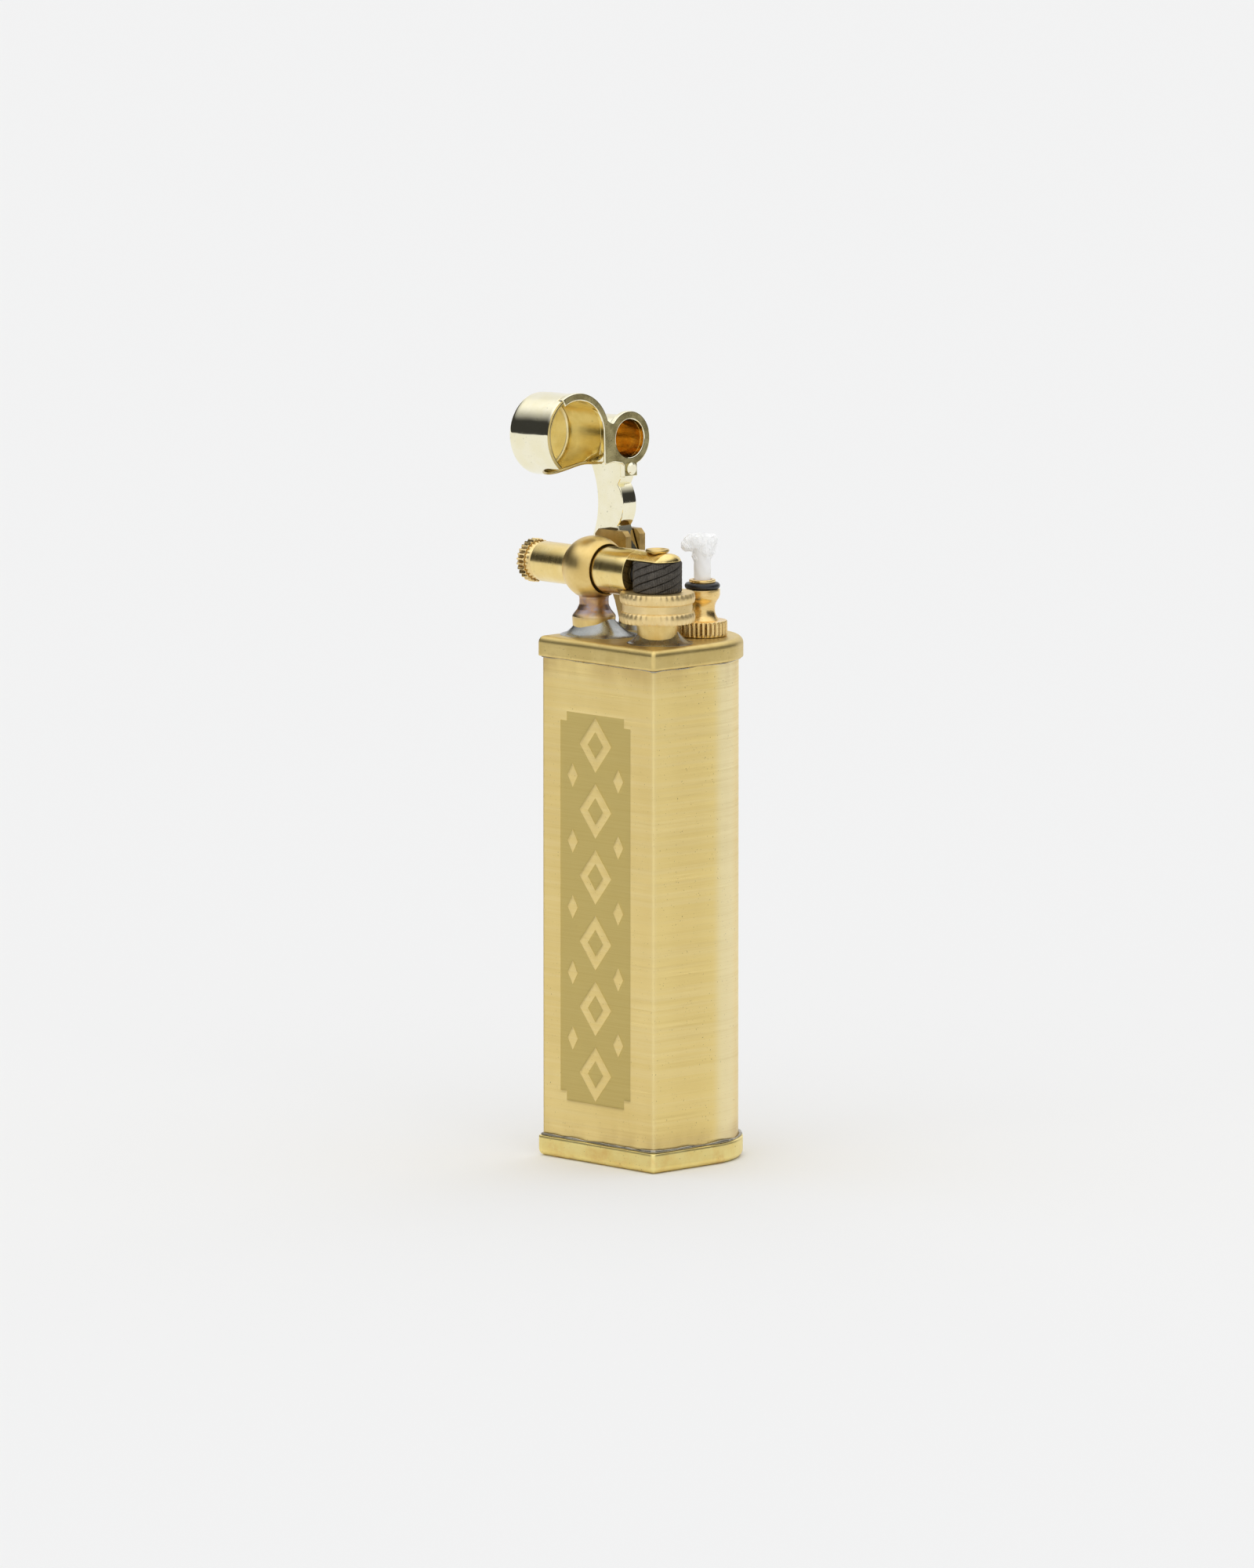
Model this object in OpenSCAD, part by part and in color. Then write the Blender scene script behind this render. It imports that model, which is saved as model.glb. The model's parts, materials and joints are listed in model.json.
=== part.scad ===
// Lift-arm petrol pocket lighter, standing with its arm open.
// X runs along the flat face, Y from the flat face to the round back, Z up from the base.

/* [Case] */
// Width across the flat face, measured on the caps
case_w = 20; // [19:0.1:21]
// Depth from the flat face to the round back, measured on the caps
case_depth = 20.4; // [20:0.1:21]
// Height from the base to the deck
case_h = 62.18; // [60:0.1:70]
// Height of each end cap
cap_h = 2.41; // [2:0.1:3]
// How far the caps stand out past the tube
cap_overhang = 0.55; // [0.4:0.05:0.7]
// Rounding along the cap's outer edge
edge_r = 0.8; // [0.4:0.1:1]
// Wall of the tank tube
wall = 0.8; // [0.6:0.1:1]
// Depth of the etched ornament
etch_depth = 0.06; // [0.04:0.01:0.2]

/* [Spark wheels] */
// Wheel axle, along X
wheel_x = 4.8; // [4.7:0.05:4.9]
// Wheel axle, along Y
wheel_y = -4.4; // [-4.5:0.05:-4.3]
// Radius of the thumb wheel over its teeth
thumb_r = 4.47; // [4.3:0.01:4.5]
// Teeth round the thumb wheel
thumb_teeth = 40; // [30:1:48]
// Radius of the spark wheel
spark_r = 2.91; // [2.8:0.01:2.95]
// Teeth round the spark wheel
spark_teeth = 30; // [24:1:36]

/* [Flint tube] */
// Height of the tube's axis over the deck
tube_rise = 7.92; // [7.9:0.01:8]
// Radius of the tube on the screw side
tube_r = 2.4; // [2.3:0.05:2.45]
// Radius of the head on the wheel side
head_r = 2.8; // [2.75:0.01:2.82]
// Left end of the tube
tube_end_x = -14.64; // [-15:0.01:-14]
// Radius of the ball that holds the tube
ball_r = 3.8; // [3.6:0.05:3.9]
// Ball post, along X
post_x = -5.9; // [-6:0.05:-5.8]
// How far the flint screw backs out before its thread lets go
screw_travel = 3; // [1:0.5:3]

/* [Wick plug] */
// Plug axis, along X
plug_x = 3.8; // [3.7:0.05:3.9]
// Plug axis, along Y
plug_y = 3.88; // [3.8:0.05:3.95]
// Radius of the knurled base
plug_r = 2.95; // [2.8:0.05:3]
// Ridges round the plug's base
plug_ridges = 30; // [24:1:36]

/* [Lift arm] */
// Hinge axis, along X
hinge_x = -10.2; // [-10.3:0.05:-10.1]
// Height of the hinge axis over the deck
hinge_rise = 8.32; // [8.3:0.01:8.4]
// How far the arm swings from shut to open
swing = 92; // [88:1:94]
// Thickness of the arm
arm_t = 2.2; // [2:0.05:2.2]
// Outside radius of the hood cup
hood_r = 4.9; // [4.85:0.01:4.92]
// Outside radius of the snuffer cup
snuffer_r = 2.75; // [2.7:0.01:2.8]
// Depth of both cups
cup_depth = 6.7; // [6.6:0.05:7]

/* [Hidden] */
$fn = 96;

brass = "#c7ae69";
cap_brass = "#bda257";
polished = "#e9d9a0";
solder = "#a9aaa6";
steel = "#3f3a35";

eps = 0.01;
fit = 0.05;

// Case
half_w = case_w / 2;
arc_y = case_depth - case_w;
deck = case_h;
tube_half = half_w - cap_overhang;
tube_bottom = wall + fit;
tube_top = case_h - wall - fit;

// Etched ornament: a long panel on the flat face
lozenge_count = 6;
lozenge_pitch = 7.85;
panel_w = 12;
panel_x = -0.5;
panel_z = 30.3;

// Wheels, as heights over the base
stub_top = deck + 2.42;
thumb_z = stub_top + fit;
thumb_h = 3.55;
bead_h = 1.3;
groove_r = thumb_r - 0.37;
spark_z = thumb_z + thumb_h;
spark_h = 3.65;
tongue_z = spark_z + spark_h + 0.1;
axle_r = 0.8;
foot_h = 2.35;
foot_r = 2.6;
neck_r = 1.75;

// Flint tube
tube_z = deck + tube_rise;
bore_r = 1.45;
ball_bore_r = head_r + 0.18;
fork_x = wheel_x - 3.1;
flint_r = 1.2;
flint_x = -3.2;
pusher_x = -5.6;
shank_x = -11.5;
screw_x = tube_end_x - 0.92;
screw_head_w = 1.44;
spring_turns = 7;
spring_wire = 0.17;
spring_r = 1.0;

// Wick plug, as heights over the base
base_z = deck + 0.07;
base_h = 1.8;
flange_z = deck + 5.57;
ring_r = 1.725;
ring_wire = 0.375;
ring_z = flange_z + ring_wire + 0.02;
plug_top = deck + 6.72;
wick_r = 1.05;
shank_r = 2;
plug_thread = 2;

// Lift arm and cups, laid out as if shut, then swung open about the hinge
hinge_z = deck + hinge_rise;
arm_y = plug_y;
rim_z = spark_z + 0.2;
plate_t = 0.7;
cup_wall = 0.45;
mouth_r = 4.1;
snuff_bore = 2.27;
ring_from = -30;
ring_to = 98;
web_y = wheel_y + mouth_r - 0.08;
heel_r = 2.1;
heel_flat = 1.95;
pin_r = 0.8;
ear_gap = 0.1;
ear_t = 0.9;
front_ear_y = arm_y - arm_t / 2 - ear_gap;
rear_ear_y = arm_y + arm_t / 2 + ear_gap;
rivet_x = 0.2;

// A straight prism with the case's D outline, from z = 0
module d_prism(w, h) {
  translate([0, arc_y, 0]) rotate_extrude(angle = 180) square([w, h]);
  translate([-w, -w, 0]) cube([2 * w, w + arc_y, h]);
}

// Half of a cap's section, with its outer top edge rounded
module cap_section(w) {
  square([w - edge_r, cap_h]);
  square([w, cap_h - edge_r]);
  translate([w - edge_r, cap_h - edge_r]) circle(r = edge_r);
}

// A closed cap, rounded along its top edge
module cap_blank() {
  translate([0, arc_y, 0]) rotate_extrude(angle = 180) cap_section(half_w);
  intersection() {
    translate([0, arc_y, 0]) rotate([90, 0, 0]) linear_extrude(height = half_w + arc_y) {
      cap_section(half_w);
      mirror([1, 0]) cap_section(half_w);
    }
    translate([half_w, arc_y, 0]) rotate([90, 0, -90])
      linear_extrude(height = case_w) cap_section(half_w + arc_y);
  }
}

// A cap hollowed to take the tube, open downwards
module cap_cup() {
  difference() {
    cap_blank();
    translate([0, 0, -eps]) d_prism(tube_half + 0.02, cap_h - wall + eps);
  }
}

// A thin ring of solder round the tube
module seam(h) {
  difference() {
    d_prism(tube_half + 0.28, h);
    translate([0, 0, -eps]) d_prism(tube_half + 0.01, h + 2 * eps);
  }
}

module lozenge(w, h) {
  polygon([[-w, 0], [0, -h], [w, 0], [0, h]]);
}

// The etched ornament: one long panel with notched corners, in which a column of
// hollow lozenges and two columns of small ones stand unetched
module ornament() {
  panel_h = (lozenge_count - 1) * lozenge_pitch + 7.2;
  translate([panel_x, -tube_half + etch_depth, panel_z])
    rotate([90, 0, 0]) linear_extrude(height = etch_depth + eps) difference() {
      square([panel_w, panel_h], center = true);
      for (side = [-1, 1], end = [-1, 1])
        translate([side * panel_w / 2, end * panel_h / 2]) square(2.2, center = true);
      for (i = [0 : lozenge_count - 1])
        translate([0, (i - (lozenge_count - 1) / 2) * lozenge_pitch]) difference() {
          lozenge(2.7, 3.25);
          lozenge(1.3, 1.6);
        }
      for (i = [1 : lozenge_count - 1], side = [-1, 1])
        translate([side * 3.9, (i - lozenge_count / 2) * lozenge_pitch]) lozenge(0.85, 1.4);
    }
}

module body_tube() {
  color(brass) difference() {
    translate([0, 0, tube_bottom]) d_prism(tube_half, tube_top - tube_bottom);
    translate([0, 0, tube_bottom - eps])
      d_prism(tube_half - wall, tube_top - tube_bottom + 2 * eps);
    ornament();
  }
}

module bottom_cap() {
  color(cap_brass) translate([0, 0, cap_h]) mirror([0, 0, 1]) cap_cup();
}

module top_cap() {
  color(cap_brass) difference() {
    translate([0, 0, deck - cap_h]) cap_cup();
    translate([plug_x, plug_y, deck - wall - eps]) cylinder(h = wall + 2 * eps, r = shank_r + 0.6);
  }
}

module top_seam_solder() {
  color(solder) translate([0, 0, deck - cap_h - 0.3]) seam(0.3 - eps);
}

module bottom_seam_solder() {
  color(solder) translate([0, 0, cap_h + eps]) seam(0.42);
}

// A mound of solder with a hollow flank, h high and as wide again past r
module mound(r, h) {
  rotate_extrude() difference() {
    square([r + h, h]);
    translate([r + h + 0.15, h + 0.15]) circle(r = h);
  }
}

// The foot of the ball post, narrower where it meets the deck
module post_foot() {
  cylinder(h = foot_h, r1 = 2.45, r2 = foot_r);
}

// The boss under the thumb wheel
module stub_boss() {
  cylinder(h = stub_top - deck, r1 = 2.3, r2 = 2.5);
}

module post_solder() {
  color(solder) translate([post_x, wheel_y, deck]) difference() {
    mound(2.1, 1.2);
    post_foot();
  }
}

module stub_solder() {
  color(solder) translate([wheel_x, wheel_y, deck]) difference() {
    mound(2.2, 1.15);
    stub_boss();
  }
}

module bracket_solder() {
  color(solder) translate([-7.15, 3.05, deck]) difference() {
    cylinder(h = 0.7, r1 = 2.3, r2 = 1.9);
    translate([-1.17, -1.34, -eps]) cube([2.34, 2.76, 1]);
  }
}

module ball_post() {
  color(brass) difference() {
    translate([post_x, wheel_y, 0]) union() {
      translate([0, 0, tube_z]) sphere(r = ball_r);
      translate([0, 0, deck]) post_foot();
      translate([0, 0, deck + foot_h - eps]) cylinder(h = 1.15, r1 = foot_r, r2 = neck_r + 0.1);
      translate([0, 0, deck + 3]) cylinder(h = 2.4, r = neck_r);
    }
    translate([post_x - 5, wheel_y, tube_z]) rotate([0, 90, 0]) cylinder(h = 10, r = tube_r + 0.03);
    translate([post_x, wheel_y, tube_z]) rotate([0, 90, 0]) cylinder(h = 5, r = ball_bore_r);
  }
}

// The end of the flint tube over the wheel, rounded towards its rim
module tongue_end() {
  rounding = 1.2;
  rim = head_r - 0.02;
  rotate_extrude() {
    translate([0, -head_r]) square([rim, 2 * head_r - rounding]);
    translate([0, -head_r]) square([rim - rounding, 2 * head_r]);
    translate([rim - rounding, head_r - rounding]) circle(r = rounding);
  }
}

module flint_tube() {
  color(polished) difference() {
    union() {
      translate([tube_end_x, wheel_y, tube_z]) rotate([0, 90, 0])
        cylinder(h = post_x - tube_end_x + 1, r = tube_r);
      translate([post_x + 0.03, wheel_y, tube_z]) rotate([0, 90, 0])
        cylinder(h = wheel_x - post_x - 0.03, r = head_r);
      intersection() {
        translate([wheel_x - 1, wheel_y, tube_z]) rotate([0, 90, 0]) cylinder(h = head_r + 2, r = head_r);
        translate([wheel_x, wheel_y, tube_z]) tongue_end();
      }
    }
    translate([tube_end_x - 1, wheel_y, tube_z]) rotate([0, 90, 0])
      cylinder(h = wheel_x - tube_end_x - 1, r = bore_r);
    translate([fork_x, wheel_y - 4, tube_z - 4]) cube([8, 8, tongue_z - tube_z + 4]);
    translate([wheel_x, wheel_y, tube_z - 4]) cylinder(h = spark_z + 0.15 - tube_z + 4, r = thumb_r + 0.25);
    translate([wheel_x, wheel_y, tongue_z - 1]) cylinder(h = 3, r = axle_r);
  }
}

// Outline of a ring of sharp teeth
module tooth_ring(teeth, outer, inner) {
  polygon([for (i = [0 : 2 * teeth - 1])
    (i % 2 == 0 ? outer : inner) * [cos(i * 180 / teeth), sin(i * 180 / teeth)]]);
}

module flint_screw() {
  teeth = 26;
  head = 2.58;
  color(brass) translate([0, wheel_y, tube_z]) {
    intersection() {
      translate([screw_x - screw_head_w, 0, 0]) rotate([0, 90, 0])
        linear_extrude(height = screw_head_w) tooth_ring(teeth, head, head - 0.24);
      union() {
        translate([screw_x - screw_head_w, 0, 0]) rotate([0, 90, 0]) cylinder(h = 0.3, r1 = 2.25, r2 = 2.6);
        translate([screw_x - screw_head_w + 0.3, 0, 0]) rotate([0, 90, 0]) cylinder(h = 2, r = 2.6);
      }
    }
    translate([screw_x - eps, 0, 0]) rotate([0, 90, 0])
      cylinder(h = tube_end_x - screw_x - fit, r1 = 2.3, r2 = 1.9);
    translate([screw_x - eps, 0, 0]) rotate([0, 90, 0]) cylinder(h = shank_x - screw_x, r = bore_r - fit);
  }
}

// A helix of round wire with closed ends, along +X
module coil(length, turns, mean_r, wire) {
  per_turn = 16;
  around = 8;
  rings = turns * per_turn;
  points = [for (i = [0 : rings], k = [0 : around - 1])
    let (a = i * 360 / per_turn, b = k * 360 / around, r = mean_r + wire * cos(b))
    [wire + (length - 2 * wire) * i / rings + wire * sin(b), r * cos(a), r * sin(a)]];
  sides = [for (i = [0 : rings - 1], k = [0 : around - 1])
    let (n = (k + 1) % around)
    [i * around + k, i * around + n, (i + 1) * around + n, (i + 1) * around + k]];
  first = [for (k = [around - 1 : -1 : 0]) k];
  last = [for (k = [0 : around - 1]) rings * around + k];
  polyhedron(points = points, faces = concat([first], sides, [last]), convexity = 6);
}

module flint_spring() {
  color(steel) translate([shank_x, wheel_y, tube_z])
    coil(pusher_x - shank_x - 0.02, spring_turns, spring_r, spring_wire);
}

module flint_pusher() {
  color(brass) translate([pusher_x, wheel_y, tube_z]) rotate([0, 90, 0]) {
    cylinder(h = 1.2, r = 1.3);
    cylinder(h = flint_x - pusher_x - 0.02, r = 0.8);
    translate([0, 0, -1.2]) cylinder(h = 1.3, r = 0.6);
  }
}

module flint() {
  color("#77716a") difference() {
    translate([flint_x, wheel_y, tube_z]) rotate([0, 90, 0]) cylinder(h = 6, r = flint_r);
    translate([wheel_x, wheel_y, tube_z - 3]) cylinder(h = 6, r = spark_r + 0.07);
  }
}

module spark_wheel() {
  color(steel) difference() {
    translate([wheel_x, wheel_y, spark_z])
      linear_extrude(height = spark_h, twist = -70, slices = 10)
        tooth_ring(spark_teeth, spark_r, spark_r - 0.22);
    translate([wheel_x, wheel_y, spark_z - eps]) cylinder(h = spark_h + 1, r = axle_r + fit);
  }
}

// One toothed bead of the thumb wheel, its teeth lower at both edges
module bead() {
  step = 0.22;
  linear_extrude(height = bead_h) tooth_ring(thumb_teeth, thumb_r - 0.16, thumb_r - 0.35);
  translate([0, 0, step]) linear_extrude(height = bead_h - 2 * step)
    tooth_ring(thumb_teeth, thumb_r, thumb_r - 0.27);
}

module thumb_wheel() {
  color(brass) translate([wheel_x, wheel_y, thumb_z]) difference() {
    union() {
      bead();
      translate([0, 0, thumb_h - bead_h]) bead();
      translate([0, 0, bead_h - 0.1]) cylinder(h = thumb_h - 2 * bead_h + 0.2, r = groove_r);
    }
    translate([0, 0, -eps]) cylinder(h = thumb_h + 1, r = axle_r + fit);
  }
}

module wheel_axle() {
  tongue_top = tube_z + head_r;
  color(brass) translate([wheel_x, wheel_y, 0]) {
    translate([0, 0, deck + 0.4]) cylinder(h = tongue_top - deck, r = axle_r);
    translate([0, 0, tongue_top]) cylinder(h = 0.15, r = 1.4);
    translate([0, 0, tongue_top + 0.15]) cylinder(h = 0.25, r1 = 1.4, r2 = 1.15);
  }
}

module wheel_stub() {
  color(brass) translate([wheel_x, wheel_y, deck]) difference() {
    stub_boss();
    translate([0, 0, 0.4]) cylinder(h = 4, r = axle_r);
  }
}

module filler_bush() {
  color(brass) translate([plug_x, plug_y, 0]) difference() {
    translate([0, 0, deck - 3]) union() {
      cylinder(h = 3, r = shank_r + 0.58);
      cylinder(h = 3 - wall - 0.02, r = shank_r + 1.1);
    }
    translate([0, 0, deck - 4]) cylinder(h = 6, r = shank_r + fit);
  }
}

module filler_plug() {
  waist_z = deck + 3.1;
  color(polished) translate([plug_x, plug_y, 0]) difference() {
    union() {
      translate([0, 0, deck - plug_thread]) cylinder(h = plug_thread + 0.5, r = shank_r);
      translate([0, 0, base_z]) cylinder(h = base_h, r = plug_r - 0.16);
      for (i = [0 : plug_ridges - 1])
        rotate(i * 360 / plug_ridges) translate([plug_r - 0.2, 0, base_z])
          cylinder(h = base_h, r = 0.2, $fn = 24);
      rotate_extrude() difference() {
        translate([0, base_z + base_h - eps]) square([2.5, flange_z - base_z - base_h]);
        translate([1.54 + 1.6, waist_z + 0.55]) circle(r = 1.6);
        translate([2.1, flange_z - 1.2]) square([2, 3]);
      }
      translate([0, 0, flange_z - 0.1]) cylinder(h = plug_top - flange_z, r = 1.33);
      translate([0, 0, plug_top - 0.35]) cylinder(h = 0.35, r = 1.57);
    }
    translate([0, 0, deck - 4]) cylinder(h = 12, r = wick_r + fit);
  }
}

module o_ring() {
  color("#1b1b1d") translate([plug_x, plug_y, ring_z]) rotate_extrude()
    translate([ring_r, 0]) circle(r = ring_wire);
}

module wick() {
  tuft_z = deck + 10.75;
  color("white") translate([plug_x, plug_y, 0]) {
    translate([0, 0, 46]) cylinder(h = tuft_z - 46, r = wick_r);
    translate([-0.35, -0.35, tuft_z]) scale(1.15) sphere(r = 1.25);
    translate([0.15, 0.15, tuft_z - 0.25]) sphere(r = 1.3);
  }
}

module cotton_packing() {
  color("#efece2") difference() {
    translate([0, 0, wall + 0.05]) d_prism(tube_half - wall - 0.05, deck - wall - 3.6);
    translate([plug_x, plug_y, 46 - eps]) cylinder(h = 20, r = wick_r + fit);
  }
}

// Outline of one ear, in X and Z, from low_z up; right is its right edge
module ear_outline(right, low_z) {
  intersection() {
    polygon([
      [-8.3, deck], [-6, deck], [-6, 66.6], [right, 68.5], [right, 73.1], [right - 0.6, 73.7],
      [-11.8, 73.7], [-12.4, 73.1], [-12.4, 72.4], [-9, 65.4], [-8.3, 63.4]
    ]);
    translate([-14, low_z]) square([10, 20]);
  }
}

module hinge_bracket() {
  web_z = deck + 2.7;
  color(cap_brass) difference() {
    union() {
      translate([0, front_ear_y, 0]) rotate([90, 0, 0])
        linear_extrude(height = ear_t) ear_outline(-7.1, deck);
      translate([0, rear_ear_y + ear_t, 0]) rotate([90, 0, 0])
        linear_extrude(height = ear_t) ear_outline(-8.2, web_z);
      translate([-9, front_ear_y - eps, web_z])
        cube([3, rear_ear_y - front_ear_y + 2 * eps, 1.7]);
      translate([-8.3, front_ear_y - ear_t, deck]) cube([2.3, 2.65, web_z - deck + 0.5]);
    }
    translate([hinge_x, -5, hinge_z]) rotate([-90, 0, 0]) cylinder(h = 20, r = pin_r);
  }
}

module hinge_pin() {
  back_y = rear_ear_y + ear_t;
  front_y = front_ear_y - ear_t;
  color(cap_brass) translate([hinge_x, 0, hinge_z]) rotate([-90, 0, 0]) {
    translate([0, 0, front_y - 0.25]) cylinder(h = back_y - front_y + 0.3, r = pin_r);
    translate([0, 0, front_y - 0.3]) cylinder(h = 0.3, r1 = 0.85, r2 = 1.15);
    translate([0, 0, back_y]) cylinder(h = 0.45, r1 = 1.85, r2 = 1.55);
  }
}

module snap_spring() {
  blade_z = hinge_z - heel_r - 0.12;
  blade_t = 0.28;
  blade_w = arm_t - 0.3;
  color(steel) translate([0, arm_y - blade_w / 2, 0]) {
    translate([-11.6, 0, blade_z - blade_t]) cube([4.3, blade_w, blade_t]);
    translate([-7.3 - blade_t, 0, 66.6 + fit]) cube([blade_t, blade_w, blade_z - 66.6 - fit]);
    translate([-8.8, 0, 66.58]) cube([1.5, blade_w, blade_t]);
  }
}

// Puts what is laid out shut into the open position
module opened() {
  translate([hinge_x, 0, hinge_z]) rotate([0, -swing, 0]) translate([-hinge_x, 0, -hinge_z]) children();
}

// The arm's outline when shut, in X and Z from the hinge
module arm_outline() {
  difference() {
    union() {
      intersection() {
        circle(r = heel_r);
        square(2 * heel_flat, center = true);
      }
      polygon([
        [0, -1.95], [0.4, -1.95], [3.58, -0.8], [8.55, -0.92], [9.3, -1.4],
        [12.6, -1.4], [12.6, 4.4], [4, 4.4], [3.2, 3.3], [0, 1.95]
      ]);
      intersection() {
        translate([6.18, 2.08]) circle(r = 3.86);
        translate([3.58, -3]) square([4.97, 4]);
      }
    }
    translate([6.52, 11.96]) circle(r = 9.4);
  }
}

module lift_arm() {
  color(polished) opened() difference() {
    translate([hinge_x, arm_y + arm_t / 2, hinge_z]) rotate([90, 0, 0])
      linear_extrude(height = arm_t) arm_outline();
    translate([hinge_x, 0, hinge_z]) rotate([-90, 0, 0]) cylinder(h = 20, r = pin_r + fit);
    translate([plug_x, plug_y, 60]) cylinder(h = 20, r = snuffer_r + 0.02);
    translate([rivet_x, arm_y, 60]) cylinder(h = 10.5, r = 0.5);
    translate([-1.1, -5, rim_z - 5]) cube([20, 20, plate_t + 5]);
  }
}

// The plate carries both cups: a rim over the top of the hood, a ring round the snuffer, the web
// between them and the arm's lug
module face_plate() {
  color(polished) opened() translate([0, 0, rim_z]) difference() {
    union() {
      translate([wheel_x, wheel_y, 0]) rotate(ring_from) rotate_extrude(angle = ring_to - ring_from)
        translate([mouth_r - 0.3, 0]) square([hood_r - mouth_r + 0.3, plate_t]);
      translate([plug_x, plug_y, 0]) cylinder(h = plate_t, r = 3.25);
      linear_extrude(height = plate_t)
        polygon([
          [0.9, web_y], [0.9, 3.2], [3.8, 3.2], [5.9, 0.9], [5.9, 0.3], [6.6, -1],
          [wheel_x, web_y - 0.8], [wheel_x - 0.5, web_y]
        ]);
      translate([-0.76, arm_y - arm_t / 2, 0]) cube([2.5, arm_t, plate_t]);
    }
    translate([wheel_x, wheel_y, -1]) cylinder(h = 3, r = mouth_r);
    translate([plug_x, plug_y, -1]) cylinder(h = 3, r = snuff_bore);
    translate([rivet_x, arm_y, -1]) cylinder(h = 3, r = 0.5);
  }
}

// A cup open downwards, its closed end rounded
module cup(r, inner, depth) {
  corner = 0.8;
  rotate_extrude() difference() {
    union() {
      square([r - corner, depth]);
      square([r, depth - corner]);
      translate([r - corner, depth - corner]) circle(r = corner);
    }
    translate([-1, -1]) square([inner + 1, depth - 0.6 + 1]);
    translate([-20, -5]) square([20, 30]);
  }
}

// The hood, cut away for the plate's rim and slotted to drop over the flint tube
module hood_cup() {
  slot_half = head_r + 0.3;
  plate_turn = 126 - ring_from;
  color(polished) opened() difference() {
    translate([wheel_x, wheel_y, rim_z]) cup(hood_r, hood_r - cup_wall, cup_depth);
    translate([wheel_x, wheel_y, rim_z - 1]) rotate(ring_from) rotate_extrude(angle = plate_turn)
      translate([mouth_r - 1, 0]) square([3, 1 + plate_t]);
    translate([wheel_x - 8, wheel_y, tube_z]) rotate([0, 90, 0]) cylinder(h = 8, r = slot_half);
    translate([wheel_x - 8, wheel_y - slot_half, rim_z - 1])
      cube([8, 2 * slot_half, tube_z - rim_z + 1]);
  }
}

module snuffer_cup() {
  color(polished) opened() difference() {
    translate([plug_x, plug_y, rim_z]) cup(snuffer_r, snuff_bore, cup_depth);
    translate([plug_x, plug_y, rim_z - 1]) cylinder(h = 1 + plate_t, r = 4);
  }
}

module arm_rivet() {
  color(polished) opened() translate([rivet_x, arm_y, rim_z]) {
    translate([0, 0, -0.15]) cylinder(h = 2.2, r = 0.5);
    translate([0, 0, -0.2]) cylinder(h = 0.2, r = 0.74);
    translate([0, 0, -0.36]) cylinder(h = 0.16, r1 = 0.5, r2 = 0.74);
  }
}

body_tube();
bottom_cap();
top_cap();
top_seam_solder();
bottom_seam_solder();
post_solder();
stub_solder();
bracket_solder();
ball_post();
flint_tube();
flint_screw();
flint_spring();
flint_pusher();
flint();
spark_wheel();
thumb_wheel();
wheel_axle();
wheel_stub();
filler_bush();
filler_plug();
o_ring();
wick();
cotton_packing();
hinge_bracket();
hinge_pin();
snap_spring();
lift_arm();
face_plate();
hood_cup();
snuffer_cup();
arm_rivet();
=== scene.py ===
import json
import math
import random
from math import cos, pi, radians, sin, sqrt

import bmesh
import bpy
from mathutils import Matrix, Vector, noise


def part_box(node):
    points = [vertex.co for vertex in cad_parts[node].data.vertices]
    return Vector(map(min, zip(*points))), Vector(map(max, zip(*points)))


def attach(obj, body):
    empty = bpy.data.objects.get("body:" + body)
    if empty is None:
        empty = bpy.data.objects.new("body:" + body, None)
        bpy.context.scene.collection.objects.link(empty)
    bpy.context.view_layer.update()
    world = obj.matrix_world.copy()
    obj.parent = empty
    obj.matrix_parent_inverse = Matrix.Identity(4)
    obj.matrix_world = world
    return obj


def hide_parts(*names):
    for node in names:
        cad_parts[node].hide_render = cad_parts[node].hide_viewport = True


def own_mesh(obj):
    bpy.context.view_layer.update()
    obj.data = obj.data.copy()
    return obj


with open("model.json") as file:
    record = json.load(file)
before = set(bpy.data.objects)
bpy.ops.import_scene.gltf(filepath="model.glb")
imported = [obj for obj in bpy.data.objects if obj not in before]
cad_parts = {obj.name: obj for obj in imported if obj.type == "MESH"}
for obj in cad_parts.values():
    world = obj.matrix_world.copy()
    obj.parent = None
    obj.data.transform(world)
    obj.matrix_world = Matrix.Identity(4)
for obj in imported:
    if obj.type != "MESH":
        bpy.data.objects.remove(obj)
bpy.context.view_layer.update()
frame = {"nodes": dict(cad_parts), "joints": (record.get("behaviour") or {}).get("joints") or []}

MM = 0.001
NODES = frame["nodes"]
TAU = 2 * pi


# ---- places, all from the frame

def corners(node):
    """The low and the high corner of a node's box."""
    low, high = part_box(node)
    return Vector(low), Vector(high)


def centre(node):
    low, high = corners(node)
    return (low + high) / 2


CASE_LOW, CASE_HIGH = corners("top_cap")
BASE_LOW, BASE_HIGH = corners("bottom_cap")
TUBE_LOW, TUBE_HIGH = corners("body_tube")
DECK = CASE_HIGH.z
POST = centre("ball_post")
WHEEL = centre("thumb_wheel")
PLUG = centre("o_ring")
TUBE = centre("flint_tube")
WHEEL_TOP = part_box("thumb_wheel")[1][2]
TO_SCREW_SIDE = Vector((-0.6884, -0.7254, 0))    # along the deck, from the wick's side to the screw's
PLUG_LIFT = 0.07     # how far the plug's base stands off the deck, in mm


# ---- material nodes

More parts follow.
